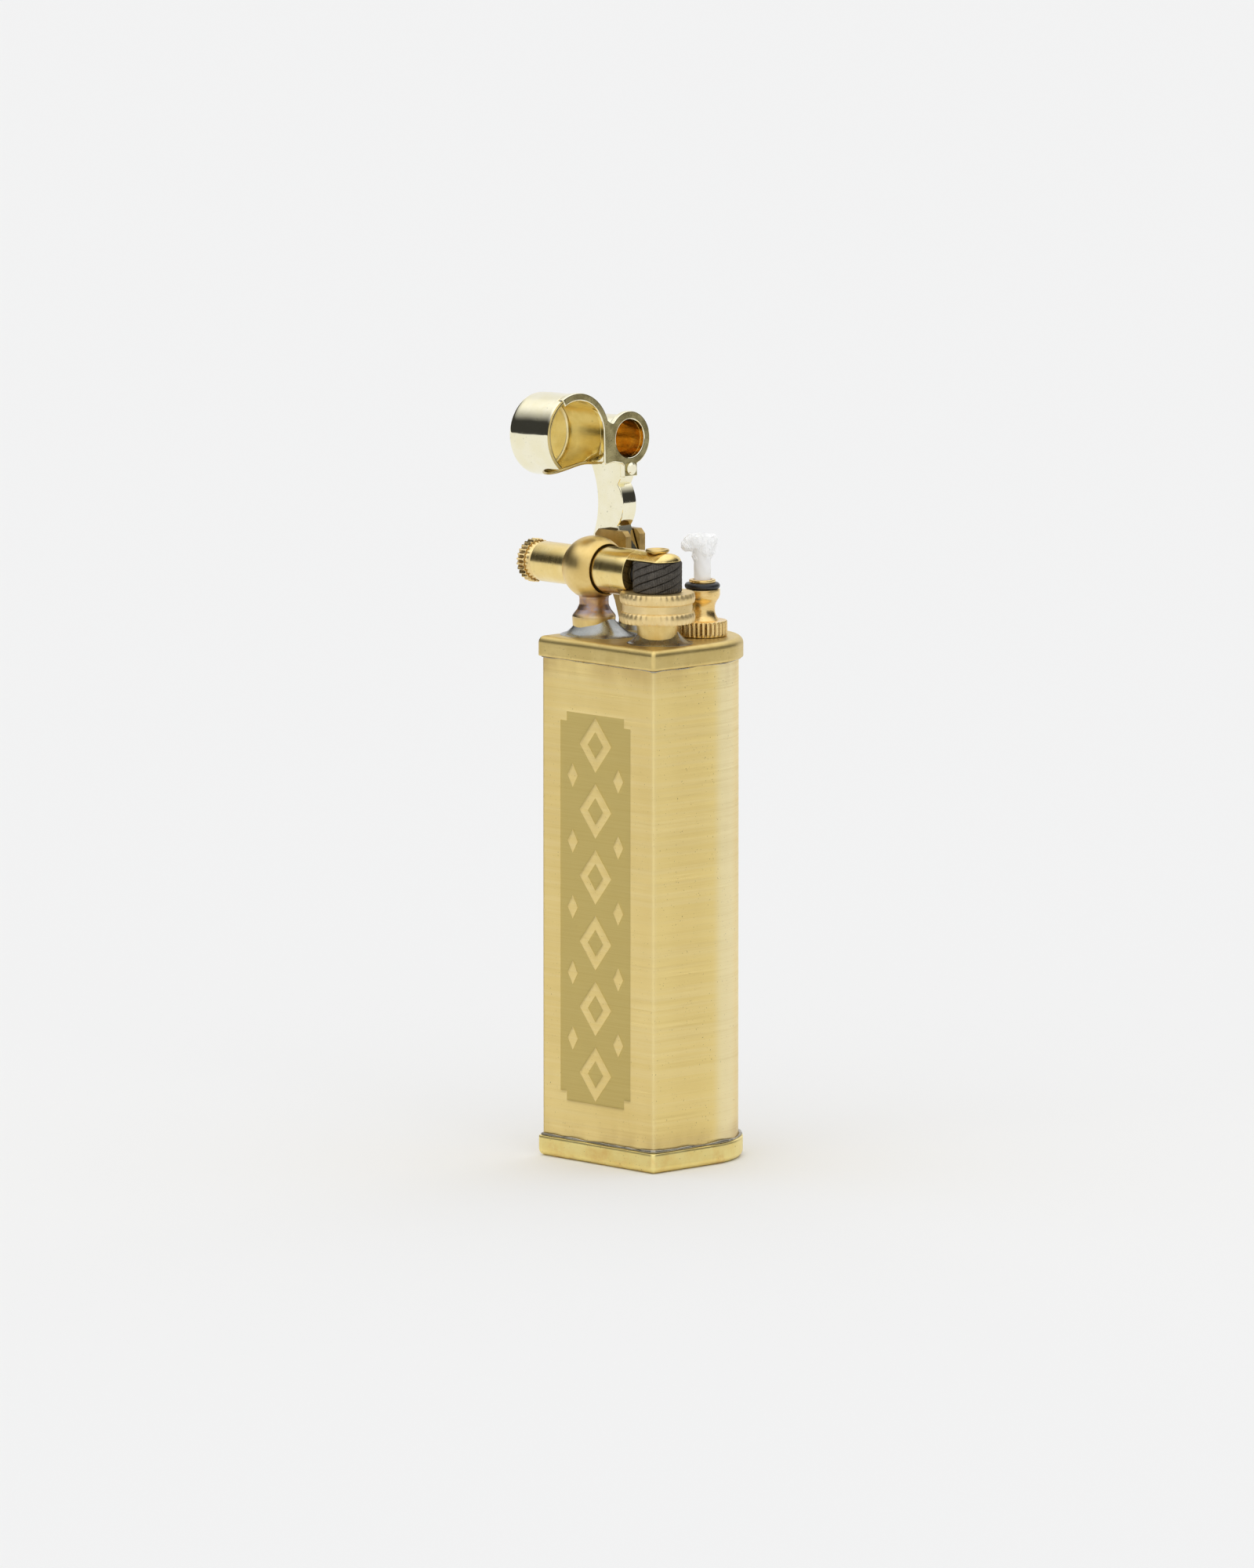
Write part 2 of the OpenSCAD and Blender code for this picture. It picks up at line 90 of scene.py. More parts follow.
class Graph:
    """A node tree, with short calls for the nodes it needs."""

    def __init__(self, tree, place):
        self.tree = tree
        self.place = self.add("ShaderNodeTexCoord").outputs[place]

    def add(self, kind, inputs=(), **settings):
        """A new node with these settings, and these values or links at its inputs."""
        made = self.tree.nodes.new(kind)
        for key, value in settings.items():
            setattr(made, key, value)
        for key, value in dict(inputs).items():
            self.put(made.inputs[key], value)
        return made

    def put(self, socket, value):
        if isinstance(value, bpy.types.NodeSocket):
            self.tree.links.new(value, socket)
        else:
            socket.default_value = value

    def math(self, operation, a, b=0.0, c=0.0):
        return self.add("ShaderNodeMath", {0: a, 1: b, 2: c}, operation=operation).outputs[0]

    def times(self, a, b):
        return self.math("MULTIPLY", a, b)

    def axes(self):
        return self.add("ShaderNodeSeparateXYZ", {0: self.place}).outputs

    def span(self, value, low, high, to_low=0.0, to_high=1.0):
        """Eases from one value to another while the given one goes from low to high."""
        inputs = {"Value": value, "From Min": low, "From Max": high, "To Min": to_low, "To Max": to_high}
        return self.add("ShaderNodeMapRange", inputs, interpolation_type="SMOOTHSTEP").outputs[0]

    def window(self, value, base, *edges):
        """1 between the middle two of four edges, in mm from the base, and 0 beyond the outer two."""
        a, b, c, d = (base + edge * MM for edge in edges)
        return self.times(self.span(value, a, b), self.span(value, d, c))

    def away(self, u, v, middle):
        """Distance from an axis, in the two coordinates across it."""
        squares = [self.math("POWER", self.math("SUBTRACT", at, mid), 2.0) for at, mid in zip((u, v), middle)]
        return self.math("SQRT", self.math("ADD", *squares))


class Shader(Graph):
    """A material's nodes."""

    def __init__(self, name):
        self.material = bpy.data.materials.new(name)
        self.material.use_nodes = True
        super().__init__(self.material.node_tree, "Object")
        self.bsdf = self.tree.nodes["Principled BSDF"]

    def noise(self, stretch, detail=3.0, rough=0.55, lift=0.0):
        """Noise with stretch features per metre, in all directions or along X, Y and Z."""
        scale = stretch if isinstance(stretch, tuple) else (stretch,) * 3
        inputs = {"Vector": self.place, "Scale": scale, "Location": (lift,) * 3}
        place = self.add("ShaderNodeMapping", inputs).outputs[0]
        inputs = {"Vector": place, "Scale": 1.0, "Detail": detail, "Roughness": rough}
        return self.add("ShaderNodeTexNoise", inputs).outputs["Fac"]

    def blend(self, share, a, b):
        made = self.add("ShaderNodeMix", data_type="RGBA")
        sockets = {s.identifier: s for s in made.inputs}
        self.put(sockets["Factor_Float"], share)
        for key, item in (("A_Color", a), ("B_Color", b)):
            self.put(sockets[key], item if isinstance(item, bpy.types.NodeSocket) else (*item, 1.0))
        return {s.identifier: s for s in made.outputs}["Result_Color"]

    def bump(self, height, distance, strength=1.0, under=None):
        made = self.add("ShaderNodeBump", {"Strength": strength, "Distance": distance, "Height": height})
        if under is not None:
            self.put(made.inputs["Normal"], under)
        return made.outputs[0]

    def soft_edges(self, radius):
        return self.add("ShaderNodeBevel", {"Radius": radius}, samples=6).outputs[0]

    def finish(self, **sockets):
        for key, value in sockets.items():
            self.put(self.bsdf.inputs[key.replace("_", " ")], value)
        return self.material


def brushed_case():
    """Satin brass of the tank: fine level brushing, cloudy tarnish, a matte etched ornament, and painted
    light and shade on its right front corner and its sides.
    """
    s = Shader("brushed_brass")
    x, y, z = s.axes()
    grain = s.noise((60, 60, 9000), 4, 0.65)
    broad = s.noise((25, 25, 1500), 3, 0.6, 3.1)
    cloud = s.noise((120, 120, 60), 3, 0.55, 7.7)
    fleck = s.noise(5200, 1, 0.5, 1.3)
    edge_x, front_y = TUBE_HIGH.x, TUBE_LOW.y
    # the etched floor lies a little behind the front, and only away from the front's corners
    etched = s.window(y, front_y, 0.02, 0.035, 0.075, 0.09)
    etched = s.times(etched, s.span(s.math("ABSOLUTE", x), edge_x - 1.5 * MM, edge_x - 1.6 * MM))
    ends = s.math("MAXIMUM", s.span(z, BASE_HIGH.z + 3.2 * MM, BASE_HIGH.z + 0.4 * MM),
                  s.span(z, CASE_LOW.z - 3.4 * MM, CASE_LOW.z - 0.5 * MM))
    ends = s.times(ends, s.span(cloud, 0.35, 0.62))
    # painted highlight: a lighter gold line down the right front corner
    corner = s.times(s.span(x, edge_x - 0.7 * MM, edge_x - 0.05 * MM),
                     s.span(y, front_y + 0.7 * MM, front_y + 0.05 * MM))
    # painted light: the right side face is tinted a brighter, warmer gold than the front
    side = s.span(x, edge_x - 0.3 * MM, edge_x - 0.05 * MM)
    # painted shade and painted highlight: along the sides, darker over the middle of the flat sides and
    # lighter where the round back begins
    shade = s.window(y, 0.0, -8.5, -4.5, -2.5, 0.5)
    light = s.window(y, 0.0, 0.0, 2.0, 3.5, 6.0)
    colour = s.blend(s.span(cloud, 0.3, 0.7), (0.93, 0.73, 0.305), (0.88, 0.675, 0.265))
    for share, tint in (
            (s.times(side, 0.75), (0.95, 0.75, 0.30)),
            (s.times(shade, 0.5), (0.86, 0.66, 0.25)),
            (s.times(light, 0.6), (1.0, 0.90, 0.58)),
            (s.span(broad, 0.42, 0.66, 0.0, 0.22), (0.96, 0.80, 0.43)),
            (s.span(grain, 0.5, 0.75, 0.0, 0.22), (0.76, 0.58, 0.215)),
            (s.times(ends, 0.42), (0.45, 0.28, 0.11)),
            (s.span(fleck, 0.735, 0.775, 0.0, 0.75), (0.22, 0.14, 0.05)),
            (s.times(corner, 0.3), (0.95, 0.80, 0.42)),
            (s.times(etched, 0.9), (0.70, 0.56, 0.205))):
        colour = s.blend(share, colour, tint)
    rough = s.math("MULTIPLY_ADD", etched, 0.22, s.span(grain, 0.25, 0.75, 0.27, 0.44))
    relief = s.bump(grain, 0.006 * MM, 0.5, s.soft_edges(0.5 * MM))
    return s.finish(Base_Color=colour, Metallic=1.0, Roughness=rough, Normal=relief)


def screw_flute_shade(s):
    """Painted shade in the flutes of the flint screw's head, darkest toward their bottoms."""
    x, y, z = s.axes()
    head = s.window(x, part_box("flint_screw")[0][0], 0.12, 0.25, 1.4, 1.5)
    return s.times(head, s.span(s.away(y, z, (TUBE.y, TUBE.z)), 2.56 * MM, 2.38 * MM, 0.0, 0.6))


def plug_ridge_shade(s):
    """Painted shade between the ridges of the plug's base."""
    x, y, z = s.axes()
    base = s.window(z, DECK + PLUG_LIFT * MM, 0.1, 0.2, 1.65, 1.75)
    return s.times(base, s.span(s.away(x, y, PLUG), 2.93 * MM, 2.82 * MM, 0.0, 0.8))


def satin_metal(name, light, dark, rough, stretch, depth, tarnish=None, tarnish_share=0.0, streaks=0.2,
                 recess_shade=None):
    """Brass with a grain, cloudy colour, scattered pits and, if asked, brown heat stains and painted shade in
    its recesses.
    """
    s = Shader(name)
    grain = s.noise(stretch, 4, 0.6)
    cloud = s.noise(420, 4, 0.6, 5.5)
    pits = s.noise(3600, 1, 0.5, 9.2)
    colour = s.blend(s.span(cloud, 0.32, 0.68), light, dark)
    colour = s.blend(s.span(grain, 0.55, 0.8, 0.0, streaks), colour, tuple(c * 0.72 for c in dark))
    if tarnish:
        stain = s.noise((260, 260, 300), 4, 0.65, 2.4)
        colour = s.blend(s.span(stain, 0.52, 0.72, 0.0, tarnish_share), colour, tarnish)
    colour = s.blend(s.span(pits, 0.72, 0.78, 0.0, 0.6), colour, tuple(c * 0.35 for c in dark))
    # painted shade: dark brown blended in where the given mask marks recesses
    if recess_shade:
        colour = s.blend(recess_shade(s), colour, (0.30, 0.17, 0.05))
    relief = s.bump(grain, depth, 0.6)
    relief = s.bump(s.math("SUBTRACT", 1.0, s.span(pits, 0.7, 0.78)), 0.01 * MM, 0.3, relief)
    return s.finish(Base_Color=colour, Metallic=1.0, Roughness=s.span(grain, 0.25, 0.75, *rough),
                    Normal=relief)


def heated_brass():
    """Satin brass of the ball post, its neck tinted brown, purple and blue by the soldering."""
    s = Shader("heated_brass")
    z = s.axes()[2]
    grain = s.noise((5200, 300, 300), 4, 0.6)
    cloud = s.noise(420, 4, 0.6, 5.5)
    stain = s.noise((520, 520, 700), 4, 0.65, 2.4)
    colour = s.blend(s.span(cloud, 0.32, 0.68), (0.84, 0.63, 0.26), (0.74, 0.53, 0.19))
    neck = s.window(z, DECK, 1.7, 2.9, 4.3, 5.2)
    tint = s.blend(s.span(stain, 0.4, 0.62), (0.42, 0.24, 0.16), (0.30, 0.26, 0.32))
    colour = s.blend(s.times(neck, s.span(stain, 0.25, 0.5, 0.55, 0.9)), colour, tint)
    return s.finish(Base_Color=colour, Metallic=1.0, Roughness=s.span(grain, 0.25, 0.75, 0.30, 0.40),
                    Normal=s.bump(grain, 0.002 * MM, 0.6))


def solder_metal(name, light, dark):
    """Grey tin solder, flowed and a little dirty, stained yellow where it thins over the brass."""
    s = Shader(name)
    flow = s.noise((350, 350, 420), 3, 0.5)
    dirt = s.noise(700, 3, 0.55, 4.0)
    colour = s.blend(s.span(flow, 0.3, 0.7), light, dark)
    colour = s.blend(s.span(dirt, 0.55, 0.78, 0.0, 0.45), colour, (0.36, 0.29, 0.22))
    relief = s.bump(flow, 0.014 * MM, 0.5)
    relief = s.bump(dirt, 0.001 * MM, 0.3, relief)
    return s.finish(Base_Color=colour, Metallic=0.92, Roughness=s.span(dirt, 0.3, 0.7, 0.2, 0.36),
                    Normal=relief)


def wheel_steel():
    """Hardened file steel: brown-black, with bright worn tooth crests."""
    s = Shader("hardened_steel")
    x, y = s.axes()[:2]
    crest = s.span(s.away(x, y, WHEEL), 2.8 * MM, 2.9 * MM)
    dust = s.noise(1300, 5, 0.65)
    fine = s.noise(6000, 3, 0.6, 2.2)
    colour = s.blend(s.span(dust, 0.3, 0.7), (0.044, 0.038, 0.030), (0.090, 0.080, 0.064))
    colour = s.blend(s.times(crest, s.span(fine, 0.4, 0.65, 0.1, 0.6)), colour, (0.20, 0.18, 0.16))
    return s.finish(Base_Color=colour, Metallic=0.75, Roughness=s.span(fine, 0.3, 0.7, 0.42, 0.62),
                    Normal=s.bump(fine, 0.02 * MM, 0.6))


def spring_steel():
    s = Shader("spring_steel")
    grain = s.noise((900, 5000, 5000), 3, 0.6)
    stain = s.noise(600, 4, 0.6, 3.0)
    colour = s.blend(s.span(stain, 0.35, 0.7), (0.50, 0.49, 0.47), (0.26, 0.23, 0.19))
    return s.finish(Base_Color=colour, Metallic=1.0, Roughness=s.span(grain, 0.3, 0.7, 0.22, 0.38),
                    Normal=s.bump(grain, 0.006 * MM, 0.5))


def flint_grey():
    s = Shader("flint_grey")
    grit = s.noise(3000, 4, 0.7)
    colour = s.blend(s.span(grit, 0.3, 0.7), (0.17, 0.16, 0.15), (0.08, 0.075, 0.07))
    return s.finish(Base_Color=colour, Metallic=0.5, Roughness=s.span(grit, 0.3, 0.7, 0.5, 0.75),
                    Normal=s.bump(grit, 0.03 * MM, 0.6))


def seal_rubber():
    """Black O-ring rubber, with a soft shine, a mould line's worth of unevenness and lint."""
    s = Shader("seal_rubber")
    skin = s.noise(2400, 4, 0.6)
    lint = s.noise(5200, 2, 0.5, 8.0)
    colour = s.blend(s.span(skin, 0.3, 0.7), (0.010, 0.010, 0.011), (0.024, 0.024, 0.026))
    colour = s.blend(s.span(lint, 0.70, 0.78, 0.0, 0.5), colour, (0.16, 0.15, 0.14))
    return s.finish(Base_Color=colour, Roughness=s.span(skin, 0.3, 0.7, 0.26, 0.46),
                    Normal=s.bump(skin, 0.012 * MM, 0.5))


def wick_cotton():
    """White twisted fibre, a little cream low down, with soft light coming through it and a faint painted
    glow.
    """
    s = Shader("wick_cotton")
    z = s.axes()[2]
    fibre = s.noise((3800, 3800, 1500), 5, 0.65)
    cloud = s.noise(900, 3, 0.6, 6.0)
    low = s.span(z, DECK + 10.0 * MM, DECK + 6.8 * MM)
    colour = s.blend(s.span(cloud, 0.3, 0.7), (0.98, 0.98, 0.975), (0.95, 0.95, 0.945))
    colour = s.blend(s.times(low, 0.3), colour, (0.86, 0.79, 0.68))
    colour = s.blend(s.span(fibre, 0.52, 0.78, 0.0, 0.3), colour, (0.88, 0.88, 0.87))
    return s.finish(Base_Color=colour, Roughness=s.span(fibre, 0.3, 0.7, 0.8, 0.95),
                    Normal=s.bump(fibre, 0.03 * MM, 0.5), Sheen_Weight=0.35, Subsurface_Weight=0.35,
                    Subsurface_Radius=(1.0, 0.95, 0.9), Subsurface_Scale=0.4 * MM,
                    # painted light: a faint white glow that brightens the cotton
                    Emission_Color=(1.0, 1.0, 1.0, 1.0), Emission_Strength=0.1)


BRUSHED = brushed_case()
CAP = satin_metal("cap_brass", (0.78, 0.61, 0.25), (0.71, 0.54, 0.205), (0.36, 0.46), (90, 90, 6500),
                  0.004 * MM, (0.50, 0.32, 0.10), 0.25)
# Painted light: a lighter copy of the cap brass, so the bottom cap looks as bright as the body above it.
LIT_BASE_CAP = satin_metal("base_cap_painted_light", (1.0, 0.86, 0.38), (0.95, 0.77, 0.30), (0.36, 0.46), (90, 90, 6500),
                       0.003 * MM, (0.80, 0.46, 0.13), 0.4)
SATIN = satin_metal("satin_brass", (0.84, 0.63, 0.26), (0.74, 0.53, 0.19), (0.28, 0.38), (5200, 300, 300),
                    0.002 * MM, (0.56, 0.36, 0.14), 0.2)
KNURLED = satin_metal("knurled_brass", (0.92, 0.72, 0.37), (0.83, 0.63, 0.29), (0.40, 0.50), (500, 500, 5000),
                      0.0015 * MM)
# Painted shade: a darkened copy of the brass for the hinge bracket and its pin, with brown tarnish stains
# over it.
SHADED_BRACKET_BRASS = satin_metal("shaded_bracket_brass", (0.48, 0.33, 0.12), (0.32, 0.21, 0.075), (0.26, 0.40), 1600,
                   0.006 * MM, (0.20, 0.10, 0.045), 0.6)
POLISHED = satin_metal("polished_brass", (0.93, 0.74, 0.33), (0.88, 0.67, 0.26), (0.20, 0.28),
                       (2400, 200, 200), 0.0002 * MM, streaks=0.12)
PLATED = satin_metal("plated_brass", (0.96, 0.91, 0.70), (0.93, 0.87, 0.62), (0.05, 0.11), (1200, 5200, 5200),
                     0.0008 * MM)
# Painted reflection: a dark olive copy of the plated brass for the face plate's flat faces.
PLATE_REFLECTION = satin_metal("plate_face_painted_reflection", (0.44, 0.38, 0.19), (0.24, 0.20, 0.09), (0.18, 0.32), 1800,
                         0.02 * MM)
CUP_INSIDE = satin_metal("cup_inside", (0.91, 0.79, 0.45), (0.85, 0.71, 0.35), (0.16, 0.26),
                         (300, 1500, 1500), 0.0003 * MM, (0.66, 0.50, 0.20), 0.35, 0.05)
# Painted reflection: a dark olive copy of the plated brass for the hood's lip.
LIP_REFLECTION = satin_metal("cup_lip_painted_reflection", (0.66, 0.52, 0.22), (0.42, 0.32, 0.12), (0.16, 0.28), 1500,
                      0.006 * MM)
PLUG_BRASS = satin_metal("plug_brass", (0.92, 0.69, 0.31), (0.84, 0.58, 0.22), (0.22, 0.32), (300, 300, 4500),
                         0.0004 * MM, (0.60, 0.32, 0.09), 0.45, recess_shade=plug_ridge_shade)
SCREW = satin_metal("screw_brass", (0.92, 0.72, 0.35), (0.84, 0.62, 0.27), (0.24, 0.34), (5000, 500, 500),
                    0.0004 * MM, recess_shade=screw_flute_shade)
SCORCHED = satin_metal("scorched_brass", (0.93, 0.69, 0.26), (0.78, 0.50, 0.14), (0.16, 0.28),
                       (300, 1500, 1500), 0.0003 * MM, (0.34, 0.17, 0.06), 0.6, 0.05)
POST_BRASS = heated_brass()
SOLDER = solder_metal("solder_grey", (0.44, 0.45, 0.44), (0.30, 0.31, 0.305))
SEAM_SOLDER = solder_metal("seam_solder", (0.46, 0.43, 0.35), (0.33, 0.30, 0.23))
STEEL = wheel_steel()
SPRING = spring_steel()
FLINT = flint_grey()
RUBBER = seal_rubber()
COTTON = wick_cotton()

CAD_LOOKS = {
    "body_tube": BRUSHED, "bottom_cap": LIT_BASE_CAP, "top_cap": CAP,
    "top_seam_solder": SOLDER, "bottom_seam_solder": SOLDER, "post_solder": SOLDER,
    "stub_solder": SOLDER, "bracket_solder": SOLDER,
    "ball_post": POST_BRASS, "flint_tube": POLISHED, "flint_screw": KNURLED,
    "flint_spring": SPRING, "flint_pusher": KNURLED, "flint": FLINT,
    "spark_wheel": STEEL, "thumb_wheel": KNURLED, "wheel_axle": KNURLED, "wheel_stub": SATIN,
    "filler_bush": KNURLED, "filler_plug": POLISHED, "o_ring": RUBBER,
    "wick": COTTON, "cotton_packing": COTTON,
    "hinge_bracket": SHADED_BRACKET_BRASS, "hinge_pin": SHADED_BRACKET_BRASS, "snap_spring": SPRING,
    "lift_arm": PLATED, "face_plate": PLATE_REFLECTION, "hood_cup": PLATED,
    "snuffer_cup": PLATED, "arm_rivet": PLATED,
}


def dress(obj, look):
    obj.data.materials.clear()
    obj.data.materials.append(look)


def smooth(obj, degrees=32):
    """Smooth shading, broken along edges sharper than the angle."""
    for face in obj.data.polygons:
        face.use_smooth = True
    obj.data.set_sharp_from_angle(angle=radians(degrees))


for node_name, look in CAD_LOOKS.items():
    dress(NODES[node_name], look)
    smooth(NODES[node_name])


# ---- mesh helpers

def linked(name, data):
    """A new object in the scene."""
    obj = bpy.data.objects.new(name, data)
    bpy.context.scene.collection.objects.link(obj)
    return obj


def made_mesh(name, bm):
    mesh = bpy.data.meshes.new(name)
    bm.to_mesh(mesh)
    bm.free()
    return mesh


def piece(name, bm, body, look, slot, *nodes, angle=40):
    """Turns a bmesh into a piece that rides on a body and stands for these nodes."""
    bmesh.ops.recalc_face_normals(bm, faces=bm.faces)
    obj = linked(name, made_mesh(name, bm))
    dress(obj, look)
    smooth(obj, angle)
    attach(obj, body)
    if nodes:
        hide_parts(*nodes)
    return obj


def loft(rings, bm=None, closed=False):
    """Joins rings of equal length into a skin, in a new bmesh or the one given.

    Closed, its last ring joins the first, like a tyre. Otherwise it has flat ends.
    """
    bm = bm or bmesh.new()
    rows = [[bm.verts.new(p) for p in ring] for ring in rings]
    count = len(rows[0])
    for a, b in zip(rows, rows[1:] + (rows[:1] if closed else [])):
        for k in range(count):
            n = (k + 1) % count
            bm.faces.new((a[k], a[n], b[n], b[k]))
    if not closed:
        bm.faces.new(rows[0][::-1])
        bm.faces.new(rows[-1])
    return bm


def ring_skin(rings, bm=None):
    return loft(rings, bm, closed=True)


def rounded(points, steps=5):
    """A closed outline, each corner rounded by its point's third value, where there is one."""
    out = []
    count = len(points)
    for i, point in enumerate(points):
        at = Vector(point[:2])
        before = Vector(points[i - 1][:2]) - at
        after = Vector(points[(i + 1) % count][:2]) - at
        want = point[2] if len(point) > 2 else 0
        spread = before.angle(after, pi)
        if want <= 0 or not radians(3) < spread < radians(176):
            out.append(tuple(at))
            continue
        reach = min(want / math.tan(spread / 2), 0.45 * before.length, 0.45 * after.length)
        r = reach * math.tan(spread / 2)
        middle = at + (before.normalized() + after.normalized()).normalized() * (r / sin(spread / 2))
        start, end = at + before.normalized() * reach - middle, at + after.normalized() * reach - middle
        turn = start.angle_signed(end)
        for k in range(steps + 1):
            a = -turn * k / steps
            out.append((middle.x + start.x * cos(a) - start.y * sin(a),
                        middle.y + start.x * sin(a) + start.y * cos(a)))
    return out


def arc(x, y, r, start, end, steps=24):
    """Points along an arc, its angles in degrees."""
    angles = [radians(start + (end - start) * k / steps) for k in range(steps + 1)]
    return [(x + r * cos(a), y + r * sin(a)) for a in angles]


def lathe(origin, profile, steps, along="z", shape=None, bm=None):
    """Turns a closed profile of (distance along, radius) in mm about an axis through the origin.

    shape(distance, angle) may give a change of radius in mm.
    """
    rings = []
    for s, r in profile:
        ring = []
        for k in range(steps):
            a = k * TAU / steps
            out = max(r + (shape(s, a) if shape else 0.0), 0.004) * MM
            if along == "z":
                ring.append((origin.x + out * cos(a), origin.y + out * sin(a), origin.z + s * MM))
            else:
                ring.append((origin.x + s * MM, origin.y - out * cos(a), origin.z + out * sin(a)))
        rings.append(ring)
    return ring_skin(rings, bm)


def subdivided(profile, longest):
    """The profile with points added, so that no stretch is longer than this."""
    out = []
    for a, b in zip(profile, profile[1:] + profile[:1]):
        parts = max(1, math.ceil(math.dist(a, b) / longest))
        out += [(a[0] + (b[0] - a[0]) * k / parts, a[1] + (b[1] - a[1]) * k / parts) for k in range(parts)]
    return out


def flat_plate(outline, holes, thickness, edge):
    """A plate in X and Y from z = 0 up, with rounded edges, as a bmesh. All in mm."""
    curve = bpy.data.curves.new("plate_outline", "CURVE")
    curve.dimensions = "2D"
    curve.fill_mode = "BOTH"
    curve.extrude = (thickness / 2 - edge) * MM
    curve.bevel_depth = edge * MM
    curve.bevel_resolution = 2
    curve.offset = -edge * MM
    for loop in (outline, *holes):
        spline = curve.splines.new("POLY")
        spline.points.add(len(loop) - 1)
        for target, (x, y) in zip(spline.points, loop):
            target.co = (x * MM, y * MM, 0, 1)
        spline.use_cyclic_u = True
    holder = linked("plate_outline", curve)
    bpy.context.view_layer.update()
    mesh = bpy.data.meshes.new_from_object(holder.evaluated_get(bpy.context.evaluated_depsgraph_get()))
    bpy.data.objects.remove(holder)
    bm = bmesh.new()
    bm.from_mesh(mesh)
    bpy.data.meshes.remove(mesh)
    bmesh.ops.remove_doubles(bm, verts=bm.verts, dist=0.002 * MM)
    bmesh.ops.translate(bm, verts=bm.verts, vec=(0, 0, thickness / 2 * MM))
    return bm


def tri_wave(t):
    """0 at whole numbers, 1 half way between."""
    t = t % 1.0
    return 1 - abs(2 * t - 1)


# ---- the arm and its cups, made as if shut

ARM_JOINT = next(j for j in frame["joints"] if j["name"] == "arm_lift")
HINGE = Vector(ARM_JOINT["pos_m"])
SWING = radians(ARM_JOINT["range_deg"][1])
OPENED = Matrix.Translation(HINGE) @ Matrix.Rotation(-SWING, 4, "Y") @ Matrix.Translation(-HINGE)
ARM_T = 2.2          # thickness of the arm
PLATE_T = 0.7        # thickness of the face plate
RIM_Z = WHEEL_TOP / MM + 0.2
HOOD_R, HOOD_WALL = 4.9, 0.45
MOUTH_R = 4.1
SNUFFER_R, SNUFFER_BORE = 2.75, 2.27
CUP_DEPTH = 6.7
HOOD_DEPTH = 7.2
SLOT_HALF = 3.1
CUP_FLOOR = 0.6      # thickness of both cups' floors
AXIS_R = 0.01        # where a turned section meets its axis


def opened(bm):
    bmesh.ops.transform(bm, matrix=OPENED, verts=bm.verts)
    return bm


def lined(obj, axis, reach, look, depth=CUP_DEPTH):
    """Gives a cup's inside its own material: the faces within reach mm of the axis, floor included."""
    obj.data.materials.append(look)
    low = OPENED @ Vector((axis.x, axis.y, RIM_Z * MM))
    along = (OPENED.to_3x3() @ Vector((0, 0, 1))).normalized()
    for face in obj.data.polygons:
        off = face.center - low
        deep = off.dot(along)
        if (off - along * deep).length < reach * MM and deep < (depth - 0.3) * MM:
            face.material_index = 1
    return obj


def lift_arm_piece():
    """The arm's outline in X and Z from the hinge, extruded through its thickness."""
    end = PLUG.x / MM - HINGE.x / MM - SNUFFER_R + 0.3
    tip, pin_hole = -1.4, 0.84
    heel = [(-1.95, 1.1, 0.5), (-1.95, -1.1, 0.5), (-1.1, -1.95, 0.5), (0.4, -1.95, 0.3), (2.9, -1.05, 0.6)]
    hump = arc(6.18, 2.08, 3.86, -132.4, -52.1, 28)
    back = [p for p in arc(6.52, 11.96, 9.4, -62, -119, 28) if p[0] < end]
    shoulder = [(1.6, 2.75, 0.5), (0.2, 1.98, 0.6), (-1.1, 1.95, 0.5)]
    outline = rounded(heel + hump + [(9.2, tip, 0.15), (end, tip), (end, back[0][1])] + back + shoulder)
    bm = flat_plate(outline, [arc(0, 0, pin_hole, 360, 0, 40)[:-1]], ARM_T, 0.1)
    near_side = Vector((HINGE.x, HINGE.y + ARM_T / 2 * MM, HINGE.z))
    stand = Matrix.Translation(near_side) @ Matrix.Rotation(pi / 2, 4, "X")
    bmesh.ops.transform(bm, matrix=stand, verts=bm.verts)
    return piece("lift_arm_forging", opened(bm), "arm", PLATED, "plated_brass", "lift_arm", angle=12)


def face_plate_piece():
    """The plate: a rim round the top of the hood, a ring round the snuffer, the web and the lug."""
    hx, hy = WHEEL.x / MM, WHEEL.y / MM
    sx, sy = PLUG.x / MM, PLUG.y / MM
    web_x, web_y = 0.9, hy + MOUTH_R
    lug = (sy - ARM_T / 2, sy + ARM_T / 2)
    outline = (arc(hx, hy, MOUTH_R, 90, -30, 60) + arc(hx, hy, HOOD_R + 0.1, -30, 74, 60)
               + [(5.95, 0.75, 0.4), (5.75, 1.25, 0.3)]
               + arc(sx, sy, 3.25, -46, 160, 70)
               + [(-0.76, lug[1], 0.15), (-0.76, lug[0], 0.15), (0.85, lug[0], 0.5), (1.2, 1.2, 1.5),
                  (web_x, web_y, 0.3)])
    snuffer_hole = arc(sx, sy, SNUFFER_BORE, 360, 0, 64)[:-1]
    bm = flat_plate(rounded(outline), [snuffer_hole], PLATE_T, 0.13)
    bmesh.ops.translate(bm, verts=bm.verts, vec=(0, 0, RIM_Z * MM))
    obj = piece("cup_face_plate", opened(bm), "arm", PLATE_REFLECTION, "plated_brass", "face_plate", angle=12)
    obj.data.materials.append(PLATED)
    # the flat faces keep the dark painted reflection; the rounded edges take the plated brass
    flat = (OPENED.to_3x3() @ Vector((0, 0, 1))).normalized()
    for face in obj.data.polygons:
        if abs(face.normal.dot(flat)) < 0.98:
            face.material_index = 1
    return obj


